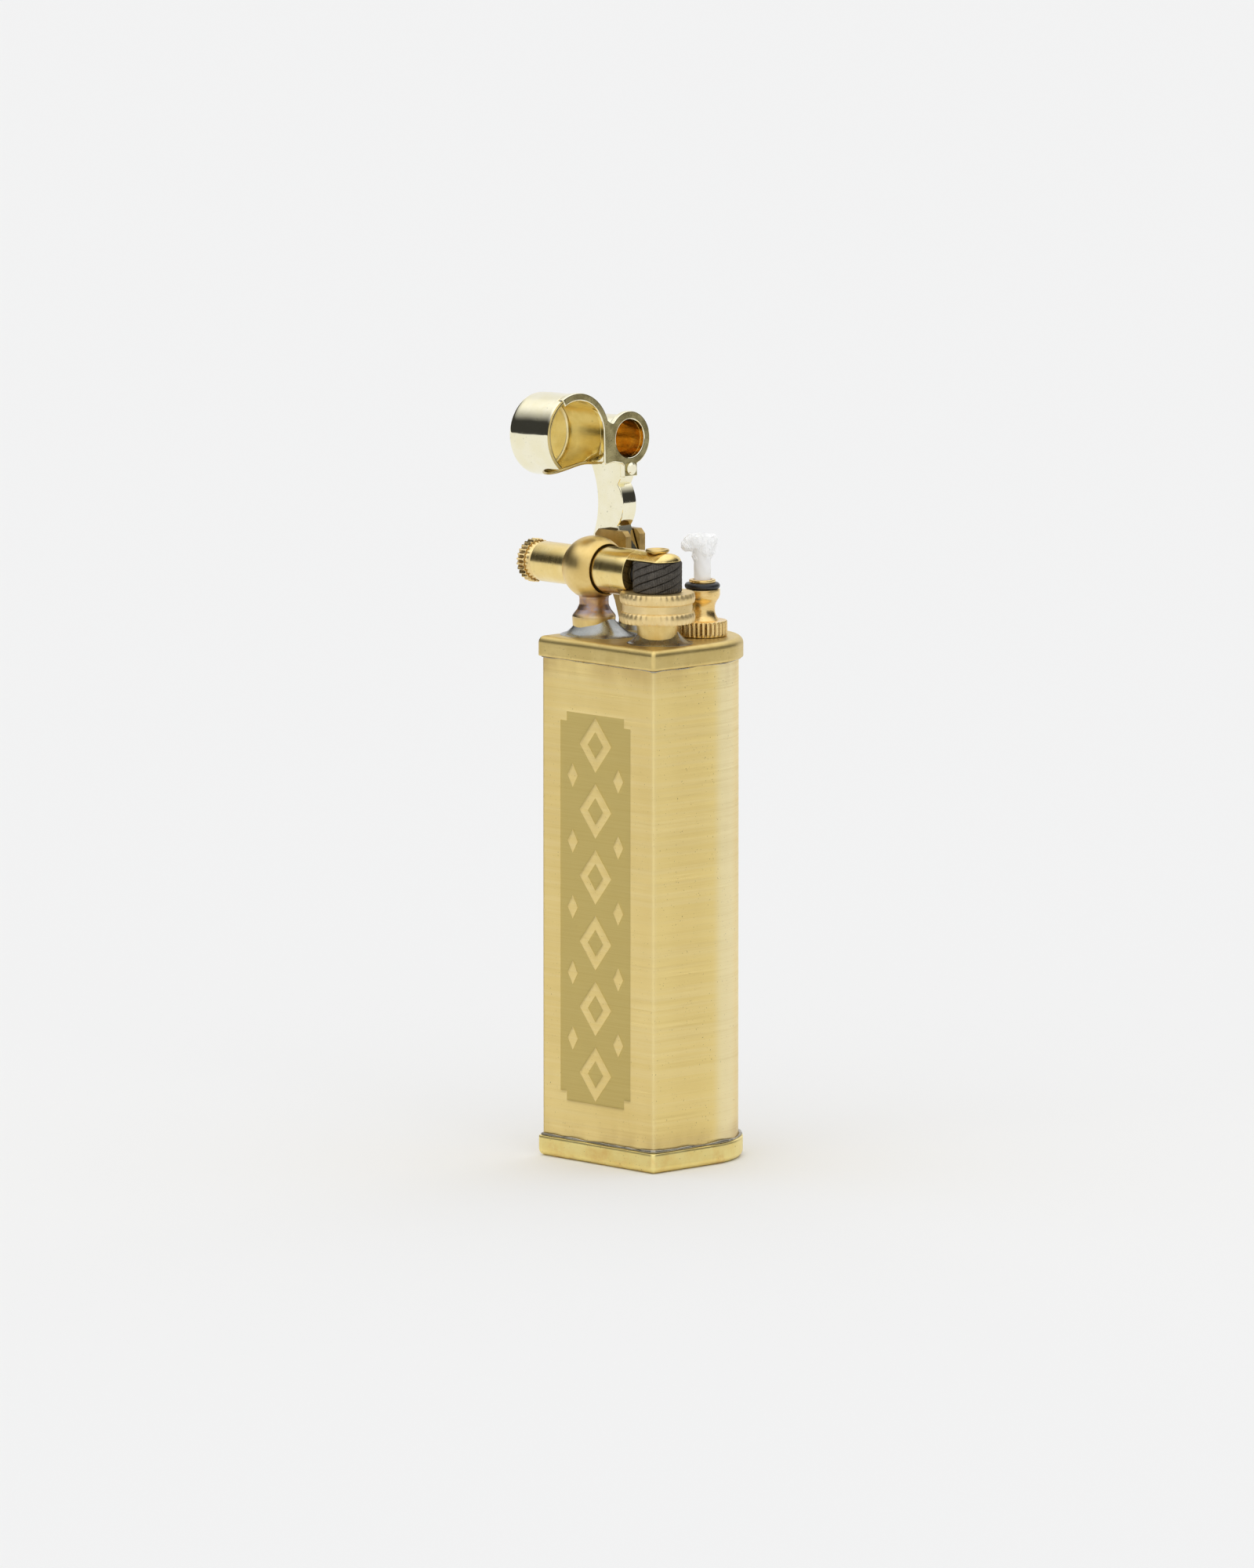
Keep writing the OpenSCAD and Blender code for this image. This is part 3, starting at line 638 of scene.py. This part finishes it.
def hood_cup_piece():
    """The hood: a drawn cup, slotted for the flint tube and flared to the plate beside the slot."""
    origin = Vector((WHEEL.x, WHEEL.y, RIM_Z * MM))
    tube_drop = TUBE.z / MM - RIM_Z
    slot_at = math.degrees(math.asin(SLOT_HALF / HOOD_R))
    plate_from, plate_to = 330, 126      # between these angles the wall starts behind the plate
    angles = {a for a in range(0, 360, 2)} | {180 + a / 2 for a in range(-80, 81)}
    angles |= {180 + side * (slot_at + off) for side in (-1, 1) for off in (-0.12, 0.12)}
    angles |= {edge + off for edge in (plate_from, plate_to) for off in (-0.1, 0.1)}
    angles = sorted(angles)

    def wall_start(degrees):
        a = radians(degrees)
        across = HOOD_R * sin(a)
        if cos(a) < 0 and abs(across) < SLOT_HALF:
            return tube_drop + sqrt(SLOT_HALF ** 2 - across ** 2)
        if degrees > plate_from or degrees < plate_to:
            return PLATE_T - 0.03
        return 0.0

    corner, inner_corner, wall = 0.8, 0.45, HOOD_WALL
    inner_r = HOOD_R - wall
    lip_rows, rows = 8, 16

    def loop(start):
        """(depth, radius) round the section whose wall begins at this depth."""
        lip = [(start + wall / 2 * (1 - sin(t)), inner_r + wall / 2 * (1 - cos(t)))
               for t in (k * pi / lip_rows for k in range(lip_rows + 1))]
        out = [(start + wall / 2 + (HOOD_DEPTH - corner - start - wall / 2) * k / rows, HOOD_R)
               for k in range(1, rows)]
        out += [(HOOD_DEPTH - corner + corner * sin(t), HOOD_R - corner + corner * cos(t))
                for t in (k * pi / 16 for k in range(9))]
        out += [(HOOD_DEPTH, r) for r in (3.0, 1.5, AXIS_R)]
        floor = HOOD_DEPTH - CUP_FLOOR
        out += [(floor, r) for r in (AXIS_R, 1.5, 3.0)]
        out += [(floor - inner_corner * (1 - cos(t)), inner_r - inner_corner * (1 - sin(t)))
                for t in (k * pi / 12 for k in range(7))]
        out += [(floor - inner_corner - (floor - inner_corner - start - wall / 2) * k / rows, inner_r)
                for k in range(1, rows)]
        return lip + out

    sections = [loop(wall_start(a)) for a in angles]
    rings = []
    for k in range(len(sections[0])):
        ring = []
        for degrees, section in zip(angles, sections):
            depth, r = section[k]
            x, y = r * cos(radians(degrees)), r * sin(radians(degrees))
            if x < 0 < y and r > 2:
                target = MOUTH_R + 0.05 + (r - inner_r)
                ease = max(0.0, 1 - depth / tube_drop / 1.8)
                y += ease ** 1.5 * max(0.0, target - y)
            dent = 0.02 * noise.noise(Vector((x * 0.5, y * 0.5, depth * 0.5)))
            ring.append(origin + Vector((x + dent, y + dent, depth)) * MM)
        rings.append(ring)
    obj = piece("hood_shell", opened(ring_skin(rings)), "arm", PLATED, "plated_brass", "hood_cup", angle=42)
    lined(obj, WHEEL, inner_r + 0.08, CUP_INSIDE, HOOD_DEPTH)
    # the lip's faces take the dark painted reflection
    obj.data.materials.append(LIP_REFLECTION)
    for face in obj.data.polygons[:lip_rows * len(angles)]:
        face.material_index = 2
    return obj


def snuffer_cup_piece():
    origin = Vector((PLUG.x, PLUG.y, RIM_Z * MM))
    start = PLATE_T - 0.02
    floor = CUP_DEPTH - CUP_FLOOR
    section = rounded([(start, SNUFFER_BORE), (start, SNUFFER_R), (CUP_DEPTH, SNUFFER_R, 0.7),
                       (CUP_DEPTH, AXIS_R), (floor, AXIS_R), (floor, SNUFFER_BORE, 0.4)], 10)
    bm = lathe(origin, subdivided(section, 0.5), 112)
    obj = piece("snuffer_shell", opened(bm), "arm", PLATED, "plated_brass", "snuffer_cup")
    return lined(obj, PLUG, SNUFFER_R - 0.2, SCORCHED)


# ---- flint tube, ball, screw and axle

def ball_post_piece():
    """A turned ball, bored across for the tube, on a waisted foot."""
    low, high = corners("ball_post")
    r = (high.y - low.y) / 2 / MM
    middle = Vector((POST.x, POST.y, high.z - r * MM))
    bore, mouth = 2.43, 2.98
    left = math.degrees(math.acos(-sqrt(r * r - bore * bore) / r))
    right = math.degrees(math.acos(sqrt(r * r - mouth * mouth) / r))
    ball = arc(0, 0, r, left, right, 64)
    end_x, end_r = ball.pop()
    section = rounded(ball + [(end_x + 0.03, end_r + 0.1, 0.12), (end_x + 0.02, mouth, 0.06),
                              (0.0, mouth), (0.0, bore)])
    bm = lathe(middle, section, 144, along="x")
    foot = rounded([(0.0, AXIS_R), (0.0, 2.45), (2.2, 2.58, 0.12), (2.42, 2.46, 0.12), (3.0, 2.0, 0.6),
                    (3.6, 1.74, 0.5), (4.3, 1.73, 0.4), (4.85, 1.85, 0.3), (5.0, 1.85), (5.0, AXIS_R)])
    lathe(Vector((POST.x, POST.y, DECK)), foot, 96, bm=bm)
    return piece("ball_post_turned", bm, "case", POST_BRASS, "satin_brass", "ball_post", angle=38)


def flint_tube_piece():
    """The tube and its wider head, cut square for the wheel, with a round-ended tongue over it."""
    left = (corners("flint_tube")[0].x - TUBE.x) / MM
    shoulder = (POST.x - TUBE.x) / MM + 0.03
    axle_x = (WHEEL.x - TUBE.x) / MM
    gap = 3.1                            # from the end of the head to the axle
    fork = axle_x - gap
    r, head, bore = 2.4, 2.8, 1.45
    section = rounded([(left, bore, 0.1), (left, r, 0.12), (shoulder, r), (shoulder, head, 0.08),
                       (fork - 1.7, head), (fork - 1.62, head), (fork, head, 0.05), (fork, bore, 0.05)], 4)
    bm = lathe(TUBE, section, 160, along="x")
    cut_r, cut_z = 4.72 * MM, WHEEL_TOP + 0.15 * MM
    for v in bm.verts:
        if math.hypot(v.co.x - WHEEL.x, v.co.y - WHEEL.y) < cut_r and v.co.z < cut_z:
            v.co.z = cut_z

    low, rounding = 1.85, 1.2            # the tongue's flat underside, and its rounded end
    rim = head - 0.02
    half_width = sqrt(head ** 2 - low ** 2)
    across, end_steps = 40, 28
    stations = [fork + gap * k / 8 for k in range(9)]
    stations += [fork + gap + (rim - 0.003) * sin(pi / 2 * k / end_steps) for k in range(1, end_steps + 1)]
    rings = []
    for x in stations:
        beyond = max(0.0, x - (fork + gap))
        wide = min(half_width, sqrt(max(rim ** 2 - beyond ** 2, 0.0)))
        top = []
        for k in range(across + 1):
            y = -wide * cos(pi * k / across)
            z = sqrt(max(head ** 2 - y ** 2, low ** 2))
            out = math.hypot(beyond, y) if beyond > 0 else 0.0
            if out > rim - rounding:
                fall = min(out - (rim - rounding), rounding)
                z = min(z, head - rounding + sqrt(rounding ** 2 - fall ** 2))
            top.append((x, y, max(z, low + 0.03)))
        bottom = [(x, wide * cos(pi * k / 8), low) for k in range(9)]
        rings.append([TUBE + Vector(p) * MM for p in top + bottom])
    loft(rings, bm)
    bmesh.ops.remove_doubles(bm, verts=bm.verts, dist=0.0005 * MM)
    return piece("flint_tube_polished", bm, "case", POLISHED, "polished_brass", "flint_tube", angle=38)


def flint_screw_piece():
    """A fluted thumb screw with a turned collar."""
    low, high = corners("flint_screw")
    length = (high.x - low.x) / MM
    head_w, flutes, outer, depth = 1.44, 26, 2.6, 0.32
    collar_end, collar_r, shank_r = head_w + 0.85, 2.3, 1.4

    def shape(s, a):
        if s > head_w + 0.02:
            return 0.0
        fade = min(1.0, max(0.0, min(s, head_w - s)) / 0.25)
        return -depth * abs(cos(0.5 * flutes * a)) ** 1.7 * (0.45 + 0.55 * fade)

    section = rounded([(0, AXIS_R), (0, 2.25, 0.1), (0.3, outer, 0.12), (head_w, outer, 0.12),
                       (head_w, collar_r, 0.03), (collar_end, 1.95, 0.05), (collar_end, shank_r),
                       (length, shank_r, 0.1), (length, AXIS_R)], 4)
    bm = lathe(Vector((low.x, TUBE.y, TUBE.z)), subdivided(section, 0.3), flutes * 10, along="x", shape=shape)
    return piece("flint_screw_turned", bm, "feed_screw", SCREW, "polished_brass", "flint_screw", angle=35)


def wheel_axle_piece():
    """The pin, with a shallow dished head."""
    low, high = corners("wheel_axle")
    head, pin_r = (high.z - low.z) / MM - 0.4, 0.8
    section = rounded([(0, AXIS_R), (0, pin_r, 0.1), (head, pin_r), (head, 1.3, 0.06),
                       (head + 0.18, 1.42, 0.08), (head + 0.4, 1.34, 0.1), (head + 0.38, 1.1, 0.1),
                       (head + 0.22, 0.7, 0.4), (head + 0.2, AXIS_R)], 4)
    bm = lathe(Vector((WHEEL.x, WHEEL.y, low.z)), section, 72)
    return piece("wheel_axle_headed", bm, "case", SATIN, "satin_brass", "wheel_axle")


# ---- filler plug and its seal

def filler_plug_piece():
    """The turned plug: ridged base, waist, flange, and the groove that holds the O-ring."""
    low, high = corners("filler_plug")
    total = (high.z - low.z) / MM
    shank_r, bore = 2.0, 1.1
    ridges, ridge, outer = 30, 0.17, 2.95
    base = 2.0 + PLUG_LIFT
    base_top = base + 1.8
    flange = base_top + 3.7
    groove, groove_r, lip_r = total - 0.35, 1.33, 1.57

    def shape(s, a):
        if s < base - 0.01 or s > base_top + 0.01:
            return 0.0
        fade = min(1.0, min(s - base, base_top - s) / 0.2)
        return -ridge * abs(cos(0.5 * ridges * a)) ** 4 * (0.3 + 0.7 * fade)

    throat = ((0.05, 1.98), (0.25, 1.84), (0.5, 1.68), (0.8, 1.56), (1.1, 1.5), (1.4, 1.48), (1.7, 1.5),
              (2.0, 1.58), (2.25, 1.7), (2.5, 1.86), (2.7, 2.0))
    waist = [(base_top + up, r) for up, r in throat]
    foot = rounded([(base, shank_r), (base, outer, 0.12), (base_top, outer, 0.14),
                    (base_top + 0.02, 2.45)], 4)
    head = rounded([(flange - 0.8, 2.07, 0.1), (flange - 0.7, 2.1, 0.1), (flange, 2.1, 0.1),
                    (flange, groove_r), (groove, groove_r), (groove, lip_r, 0.08), (total, lip_r, 0.1),
                    (total, bore, 0.05)], 4)
    section = [(0, bore), (0, shank_r), (base, shank_r)] + foot[1:] + waist + head
    bm = lathe(Vector((PLUG.x, PLUG.y, low.z)), subdivided(section, 0.35), ridges * 10, shape=shape)
    return piece("filler_plug_turned", bm, "plug", PLUG_BRASS, "polished_brass", "filler_plug", angle=38)


def o_ring_piece():
    low, high = corners("o_ring")
    wire = (high.z - low.z) / 2 / MM
    ring_r = (high.x - low.x) / 2 / MM - wire
    section = [(wire * sin(t), ring_r + wire * cos(t)) for t in (k * TAU / 28 for k in range(28))]

    def shape(s, a):
        return 0.015 * noise.noise(Vector((cos(a) * 2, sin(a) * 2, s)))

    bm = lathe(PLUG, section, 112, shape=shape)
    return piece("o_ring_moulded", bm, "plug_seal", RUBBER, "rubber", "o_ring", angle=60)


# ---- wheels

WHEEL_BORE = 0.85


def wheel_mesh(low, high, rows, steps, shape):
    """Turns a wheel about its axle. The shape is for the rim, so the bore is made round again."""
    tall, outer = (high.z - low.z) / MM, (high.x - low.x) / 2 / MM
    section = [(tall * i / rows, outer) for i in range(rows + 1)] + [(tall, WHEEL_BORE), (0, WHEEL_BORE)]
    bm = lathe(Vector((WHEEL.x, WHEEL.y, low.z)), section, steps, shape=shape)
    trim = WHEEL_BORE * MM
    for v in bm.verts:
        out = Vector((v.co.x - WHEEL.x, v.co.y - WHEEL.y))
        if out.length < trim * 1.05:
            v.co.xy = WHEEL.xy + out.normalized() * trim
    return bm


def spark_wheel_piece():
    """A file-cut wheel: a few steep slanting cuts over fine cross teeth."""
    low, high = corners("spark_wheel")
    tall = (high.z - low.z) / MM
    starts, pitch, teeth = 7, 0.92, 62
    cut, tooth, grit, worn, worn_width = 0.15, 0.055, 0.03, 0.16, 0.18

    def shape(s, a):
        rise = s / pitch
        slant = tri_wave(rise - starts * a / TAU)
        fine = (teeth * a / TAU + 0.25 * rise) % 1.0
        rough = noise.noise(Vector((cos(a) * 9, sin(a) * 9, s * 3.0)))
        edge = max(0.0, 1 - min(s, tall - s) / worn_width)
        return -(cut * max(0.0, 1 - 5.0 * slant) + tooth * fine + grit * abs(rough) + worn * edge ** 2)

    bm = wheel_mesh(low, high, 56, teeth * 8, shape)
    return piece("spark_wheel_teeth", bm, "wheels", STEEL, "steel", "spark_wheel", angle=26)


def thumb_wheel_piece():
    """Two crowned, notched beads with a plain band between them."""
    low, high = corners("thumb_wheel")
    tall = (high.z - low.z) / MM
    bead, teeth, band = 1.3, 40, 0.34    # a bead's height, its notches, and how low the band lies

    def shape(s, a):
        across = min(s, tall - s) / bead
        if across >= 1.0:
            return -band
        crown = sin(pi * min(max(across * 0.94 + 0.06, 0.0), 1.0)) ** 0.38
        notch = abs(cos(0.5 * teeth * a)) ** 2.2
        depth = 0.035 + 0.10 * abs(2 * across - 1) ** 1.5
        return -band * (1 - crown) - depth * notch * crown

    bm = wheel_mesh(low, high, 64, teeth * 12, shape)
    return piece("thumb_wheel_knurl", bm, "wheels", KNURLED, "satin_brass", "thumb_wheel")


# ---- solder

def solder_mound(name, node, axis, foot, reach, height, seed, spikes=(), pull=(0.0, 0.0)):
    """A flowed collar of solder round a foot: hollow flank, uneven rim, and humps toward some angles."""
    rings, steps = 16, 96
    hollow, lump = 1.8, 0.03 * MM        # how hollow the flank is, and how uneven
    shift = Vector((seed * 3.7, seed * 1.9, seed * 5.3))

    def spread(angle):
        wobble = noise.noise(shift + Vector((cos(angle), sin(angle), 0)) * 1.3)
        return reach * (1 + 0.1 * wobble) + pull[1] * max(0.0, cos(angle - pull[0])) ** 2

    def climb(angle):
        rise = height * (1 + 0.25 * noise.noise(shift + Vector((cos(angle), sin(angle), 4)) * 1.6))
        for at, width, extra in spikes:
            off = math.atan2(sin(angle - at), cos(angle - at))
            rise += extra * math.exp(-(off / width) ** 2)
        return rise

    skin = []
    for i in range(rings + 1):
        t = i / rings
        ring = []
        for k in range(steps):
            a = k * TAU / steps
            r = foot + (spread(a) - foot) * t
            z = climb(a) * (1 - t) ** hollow
            z += lump * noise.noise(shift + Vector((r * cos(a), r * sin(a), 0)) * 700) * (1 - t)
            ring.append((axis.x + r * cos(a), axis.y + r * sin(a), DECK + max(z, 0) + 0.01 * MM))
        skin.append(ring)
    inner = [[(axis.x + (p[0] - axis.x) * 0.85, axis.y + (p[1] - axis.y) * 0.85, DECK) for p in skin[0]]]
    outer = [[(p[0], p[1], DECK - 0.02 * MM) for p in skin[-1]]]
    bm = ring_skin(skin + outer + inner)
    return piece(name, bm, "case", SOLDER, "solder", node, angle=60)


def case_sides(inset):
    """Half the case's width, its front, and the start of its round back, drawn in by inset."""
    return CASE_HIGH.x - inset, CASE_LOW.y + inset, CASE_HIGH.y - CASE_HIGH.x


def case_outline(inset, t):
    """A point on the case's D outline and the way out from it; t runs from 0 to 1 round it."""
    half, front, arc_y = case_sides(inset)
    side = arc_y - front
    lengths = (2 * half, side, pi * half, side)
    run = (t % 1.0) * sum(lengths)
    if run < lengths[0]:
        return Vector((-half + run, front, 0)), Vector((0, -1, 0))
    run -= lengths[0]
    if run < lengths[1]:
        return Vector((half, front + run, 0)), Vector((1, 0, 0))
    run -= lengths[1]
    if run < lengths[2]:
        a = run / half
        return Vector((half * cos(a), arc_y + half * sin(a), 0)), Vector((cos(a), sin(a), 0))
    run -= lengths[2]
    return Vector((-half, arc_y - run, 0)), Vector((-1, 0, 0))


def cap_ring(inset, z, corner):
    """The case's D outline with rounded front corners, drawn in by inset, at height z."""
    half, front, arc_y = case_sides(inset)
    turn = max(corner - inset, 0.04 * MM)
    start, straight = front + turn, 2 * half - 2 * turn
    points = arc(half - turn, start, turn, -90, 0, 12)
    points += [(half, start + (arc_y - start) * k / 14) for k in range(1, 14)]
    points += arc(0, arc_y, half, 0, 180, 90)
    points += [(-half, arc_y + (start - arc_y) * k / 14) for k in range(1, 14)]
    points += arc(-half + turn, start, turn, 180, 270, 12)
    points += [(-half + turn + straight * k / 24, front) for k in range(1, 24)]
    uneven = 0.02 * MM if inset < 0.9 * MM else 0.0
    return [Vector((x, y, z + uneven * noise.noise(Vector((x, y, z)) * 220))) for x, y in points]


def cap_piece(name, node, lip, face, look):
    """A pressed cap: a straight lip, and a rounded edge running into its flat face."""
    edge, corner = 0.85 * MM, 0.55 * MM
    way = 1 if face > lip else -1
    steps = [(0.5 * MM, lip), (0.06 * MM, lip), (0.0, lip + way * 0.06 * MM)]
    straight = abs(face - lip) - edge
    steps += [(0.0, lip + way * straight * k / 5) for k in range(1, 6)]
    steps += [(edge * (1 - cos(t)), face - way * edge * (1 - sin(t)))
              for t in (k * pi / 24 for k in range(1, 13))]
    steps += [(edge + 0.1 * MM, face), (edge + 1.2 * MM, face)]
    bm = loft([cap_ring(inset, z, corner) for inset, z in steps])
    return piece(name, bm, "case", look, "cap_brass", node, angle=50)


def seam_bead(name, node, level, up, size, lumps, seed):
    """An uneven bead of solder in the corner between a cap's lip and the tube."""
    steps, around = 560, 8
    inset = CASE_HIGH.x - TUBE_HIGH.x
    corner = Vector((CASE_HIGH.x, CASE_LOW.y, 0))
    rings = []
    for i in range(steps):
        point, out = case_outline(inset, i / steps)
        place = point / MM
        swell = 1 + lumps * noise.noise(place * 0.3 + Vector((seed, 0, 0)))
        swell += 0.3 * lumps * noise.noise(place * 0.9 + Vector((0, seed, 0)))
        wide = size[0] * min(max(swell, 0.6), 1.2)
        tall = size[1] * min(max(swell, 0.5), 1.4)
        tall += size[1] * 0.6 * math.exp(-((point - corner).length / (1.6 * MM)) ** 2)
        ring = []
        for k in range(around):
            a = k * TAU / around
            ring.append(point + out * (wide * 0.5 * (1 + cos(a)) - 0.05 * MM)
                        + Vector((0, 0, level + up * tall * 0.5 * (1 + sin(a)))))
        rings.append(ring)
    bm = ring_skin(rings)
    return piece(name, bm, "case", SEAM_SOLDER, "solder", node, angle=70)


# ---- wick

def wick_stem_piece():
    """Twisted strands from the packing up into the tuft."""
    low = corners("wick")[0]
    plug_top, flare_from, top = (DECK + up * MM for up in (6.9, 8.6, 10.6))
    rows, steps, strands, twist = 70, 48, 6, 0.55
    core_r, groove_r, flare_r, bore_r = 0.95, 0.07, 0.28, 1.03
    rings = []
    for i in range(rows + 1):
        h = low.z + (top - low.z) * i / rows
        flare = max(0.0, (h - flare_from) / (2.0 * MM))
        ring = []
        for k in range(steps):
            a = k * TAU / steps
            groove = abs(sin(0.5 * strands * (a + h / MM * twist)))
            r = (core_r + groove_r * groove + flare_r * flare ** 1.5) * MM
            if h < plug_top:
                r = min(r, bore_r * MM)
            r += 0.03 * MM * noise.noise(Vector((cos(a) * 2, sin(a) * 2, h / MM * 2.2)))
            ring.append((PLUG.x + r * cos(a), PLUG.y + r * sin(a), h))
        rings.append(ring)
    bm = loft(rings)
    return piece("wick_stem", bm, "case", COTTON, "wick", "wick", angle=80)


def wick_tuft_piece():
    """The frayed head: soft lumps that lean to one side, covered in short loose fibres."""
    lean = TO_SCREW_SIDE
    top = DECK + 12.15 * MM
    hair_share = 0.11                    # of the skin's points, how many carry a loose fibre
    base = Vector((PLUG.x, PLUG.y, 0))
    lumps = [  # along the lean, across it, height under the top, radius, in mm
        (1.15, 0.0, 1.05, 1.05), (0.2, 0.35, 0.95, 1.1), (-0.75, -0.1, 1.0, 1.0), (0.25, -0.5, 0.95, 1.0),
        (1.75, 0.1, 1.35, 0.72), (-0.25, 0.1, 1.9, 1.15), (0.1, -0.1, 2.7, 1.05), (0.8, 0.45, 0.8, 0.8),
    ]
    across = Vector((-lean.y, lean.x, 0))
    bm = bmesh.new()
    for along, side, under, r in lumps:
        at = base + (lean * along + across * side) * MM + Vector((0, 0, top - under * MM))
        bmesh.ops.create_icosphere(bm, subdivisions=3, radius=r * MM, matrix=Matrix.Translation(at))
    core = linked("tuft_core", made_mesh("tuft_core", bm))
    remesh = core.modifiers.new("remesh", "REMESH")
    remesh.mode = "VOXEL"
    remesh.voxel_size = 0.09 * MM
    relax = core.modifiers.new("relax", "SMOOTH")
    relax.iterations = 8
    graph = bpy.context.evaluated_depsgraph_get()
    skin = bpy.data.meshes.new_from_object(core.evaluated_get(graph))
    bpy.data.objects.remove(core)
    bm = bmesh.new()
    bm.from_mesh(skin)
    bm.normal_update()
    rng = random.Random(11)
    roots = []
    for v in bm.verts:
        p = v.co / MM
        v.co += v.normal * (0.16 * noise.noise(p * 1.4) + 0.07 * noise.noise(p * 4.5)) * MM
        if rng.random() < hair_share:
            roots.append((v.co.copy(), v.normal.copy()))
    for at, normal in roots:
        side = Vector((rng.uniform(-1, 1), rng.uniform(-1, 1), rng.uniform(-0.6, 1))).cross(normal)
        side = side.normalized() if side.length > 1e-6 else Vector((1, 0, 0))
        length, thick = rng.uniform(0.35, 0.85) * MM, rng.uniform(0.022, 0.04) * MM
        path = [at + side * length * (t - 0.5) + normal * (0.09 * MM * sin(pi * t) - 0.02 * MM)
                for t in (0, 0.25, 0.5, 0.75, 1)]
        rings = []
        for p in path:
            rings.append([p + (normal * cos(a) + normal.cross(side) * sin(a)) * thick
                          for a in (0, TAU / 3, 2 * TAU / 3)])
        loft(rings, bm)
    ceiling = top - 0.005 * MM
    for v in bm.verts:
        v.co.z = min(v.co.z, ceiling)
    obj = piece("wick_tuft", bm, "case", COTTON, "wick", angle=80)
    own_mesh(obj)
    return obj


# ---- build the pieces

for build in (lift_arm_piece, face_plate_piece, hood_cup_piece, snuffer_cup_piece, ball_post_piece,
              flint_tube_piece, flint_screw_piece, wheel_axle_piece, filler_plug_piece, o_ring_piece,
              spark_wheel_piece, thumb_wheel_piece):
    build()
cap_piece("top_cap_pressing", "top_cap", CASE_LOW.z, DECK - 0.01 * MM, CAP)
cap_piece("bottom_cap_pressing", "bottom_cap", BASE_HIGH.z, BASE_LOW.z, LIT_BASE_CAP)
WICK_SIDE = math.atan2(-TO_SCREW_SIDE.y, -TO_SCREW_SIDE.x)
solder_mound("post_solder_flow", "post_solder", POST, 2.45 * MM, 3.9 * MM, 1.0 * MM, 1,
             spikes=((WICK_SIDE - 0.6, 1.1, 1.0 * MM),), pull=(WICK_SIDE - 0.4, 1.6 * MM))
solder_mound("stub_solder_flow", "stub_solder", WHEEL, 2.25 * MM, 3.6 * MM, 0.62 * MM, 2,
             spikes=((WICK_SIDE, 0.6, 1.0 * MM), (WICK_SIDE + pi, 0.7, 0.7 * MM)), pull=(WICK_SIDE, 0.9 * MM))
seam_bead("bottom_seam_bead", "bottom_seam_solder", BASE_HIGH.z - 0.02 * MM, 1,
          (0.44 * MM, 0.34 * MM), 0.6, 3.0)
seam_bead("top_seam_bead", "top_seam_solder", CASE_LOW.z + 0.02 * MM, -1, (0.38 * MM, 0.22 * MM), 0.5, 8.0)
wick_stem_piece()
wick_tuft_piece()


# ---- studio

def studio_world():
    """A white studio with two dark flags near the horizon, which the polished brass mirrors."""
    world = bpy.data.worlds.new("studio")
    world.use_nodes = True
    bpy.context.scene.world = world
    world.node_tree.nodes.clear()
    g = Graph(world.node_tree, "Generated")
    x, y, z = g.axes()
    foot, head, overhead = (-0.085, -0.055), (0.38, 0.70), (0.55, 0.75)     # heights that each eases over
    flags = ((radians(208), 0.45), (radians(43), 0.42))                    # azimuth and reach
    soft_side, horizon_level, overhead_level, flag_depth = 0.14, 0.885, 0.41, 0.955
    band = g.times(g.span(z, *foot), g.math("SUBTRACT", 1.0, g.span(z, *head)))
    sides = []
    for azimuth, reach in flags:
        toward = g.math("ADD", g.times(x, cos(azimuth)), g.times(y, sin(azimuth)))
        sides.append(g.span(toward, 1 - reach, 1 - reach + soft_side))
    dark = g.times(band, g.math("MAXIMUM", *sides))
    level = g.math("ADD", horizon_level, g.times(g.span(z, *overhead), overhead_level))
    level = g.times(level, g.math("SUBTRACT", 1.0, g.times(dark, flag_depth)))
    background = g.add("ShaderNodeBackground", {"Strength": level, "Color": (0.997, 0.999, 1.0, 1)})
    g.add("ShaderNodeOutputWorld", {"Surface": background.outputs[0]})


def studio_floor():
    mesh = bpy.data.meshes.new("floor")
    size = 6.0
    sheet = [(-size, -size, 0), (size, -size, 0), (size, size, 0), (-size, size, 0)]
    mesh.from_pydata(sheet, [], [(0, 1, 2, 3)])
    floor = linked("floor", mesh)
    s = Shader("floor_paper")
    dress(floor, s.finish(Base_Color=(0.90, 0.90, 0.90, 1.0), Roughness=0.9, Specular_IOR_Level=0.0))


def camera():
    """Seen from the front right, a little from above, through a long lens."""
    azimuth, elevation, distance = radians(46.48), radians(8.03), 1.7
    aim_right, aim_up = -3.46 * MM, 44.48 * MM
    back = Vector((sin(azimuth) * cos(elevation), -cos(azimuth) * cos(elevation),
                   sin(elevation)))
    right = Vector((cos(azimuth), sin(azimuth), 0))
    target = right * aim_right + Vector((0, 0, aim_up))
    data = bpy.data.cameras.new("camera")
    data.lens = 330.2
    data.sensor_width = 36.0
    data.clip_end = 50.0
    cam = linked("camera", data)
    turn = Matrix((right, back.cross(right), back)).transposed()
    cam.matrix_world = Matrix.Translation(target + back * distance) @ turn.to_4x4()
    bpy.context.scene.camera = cam


studio_world()
studio_floor()
camera()
bpy.context.scene.view_settings.view_transform = "Standard"
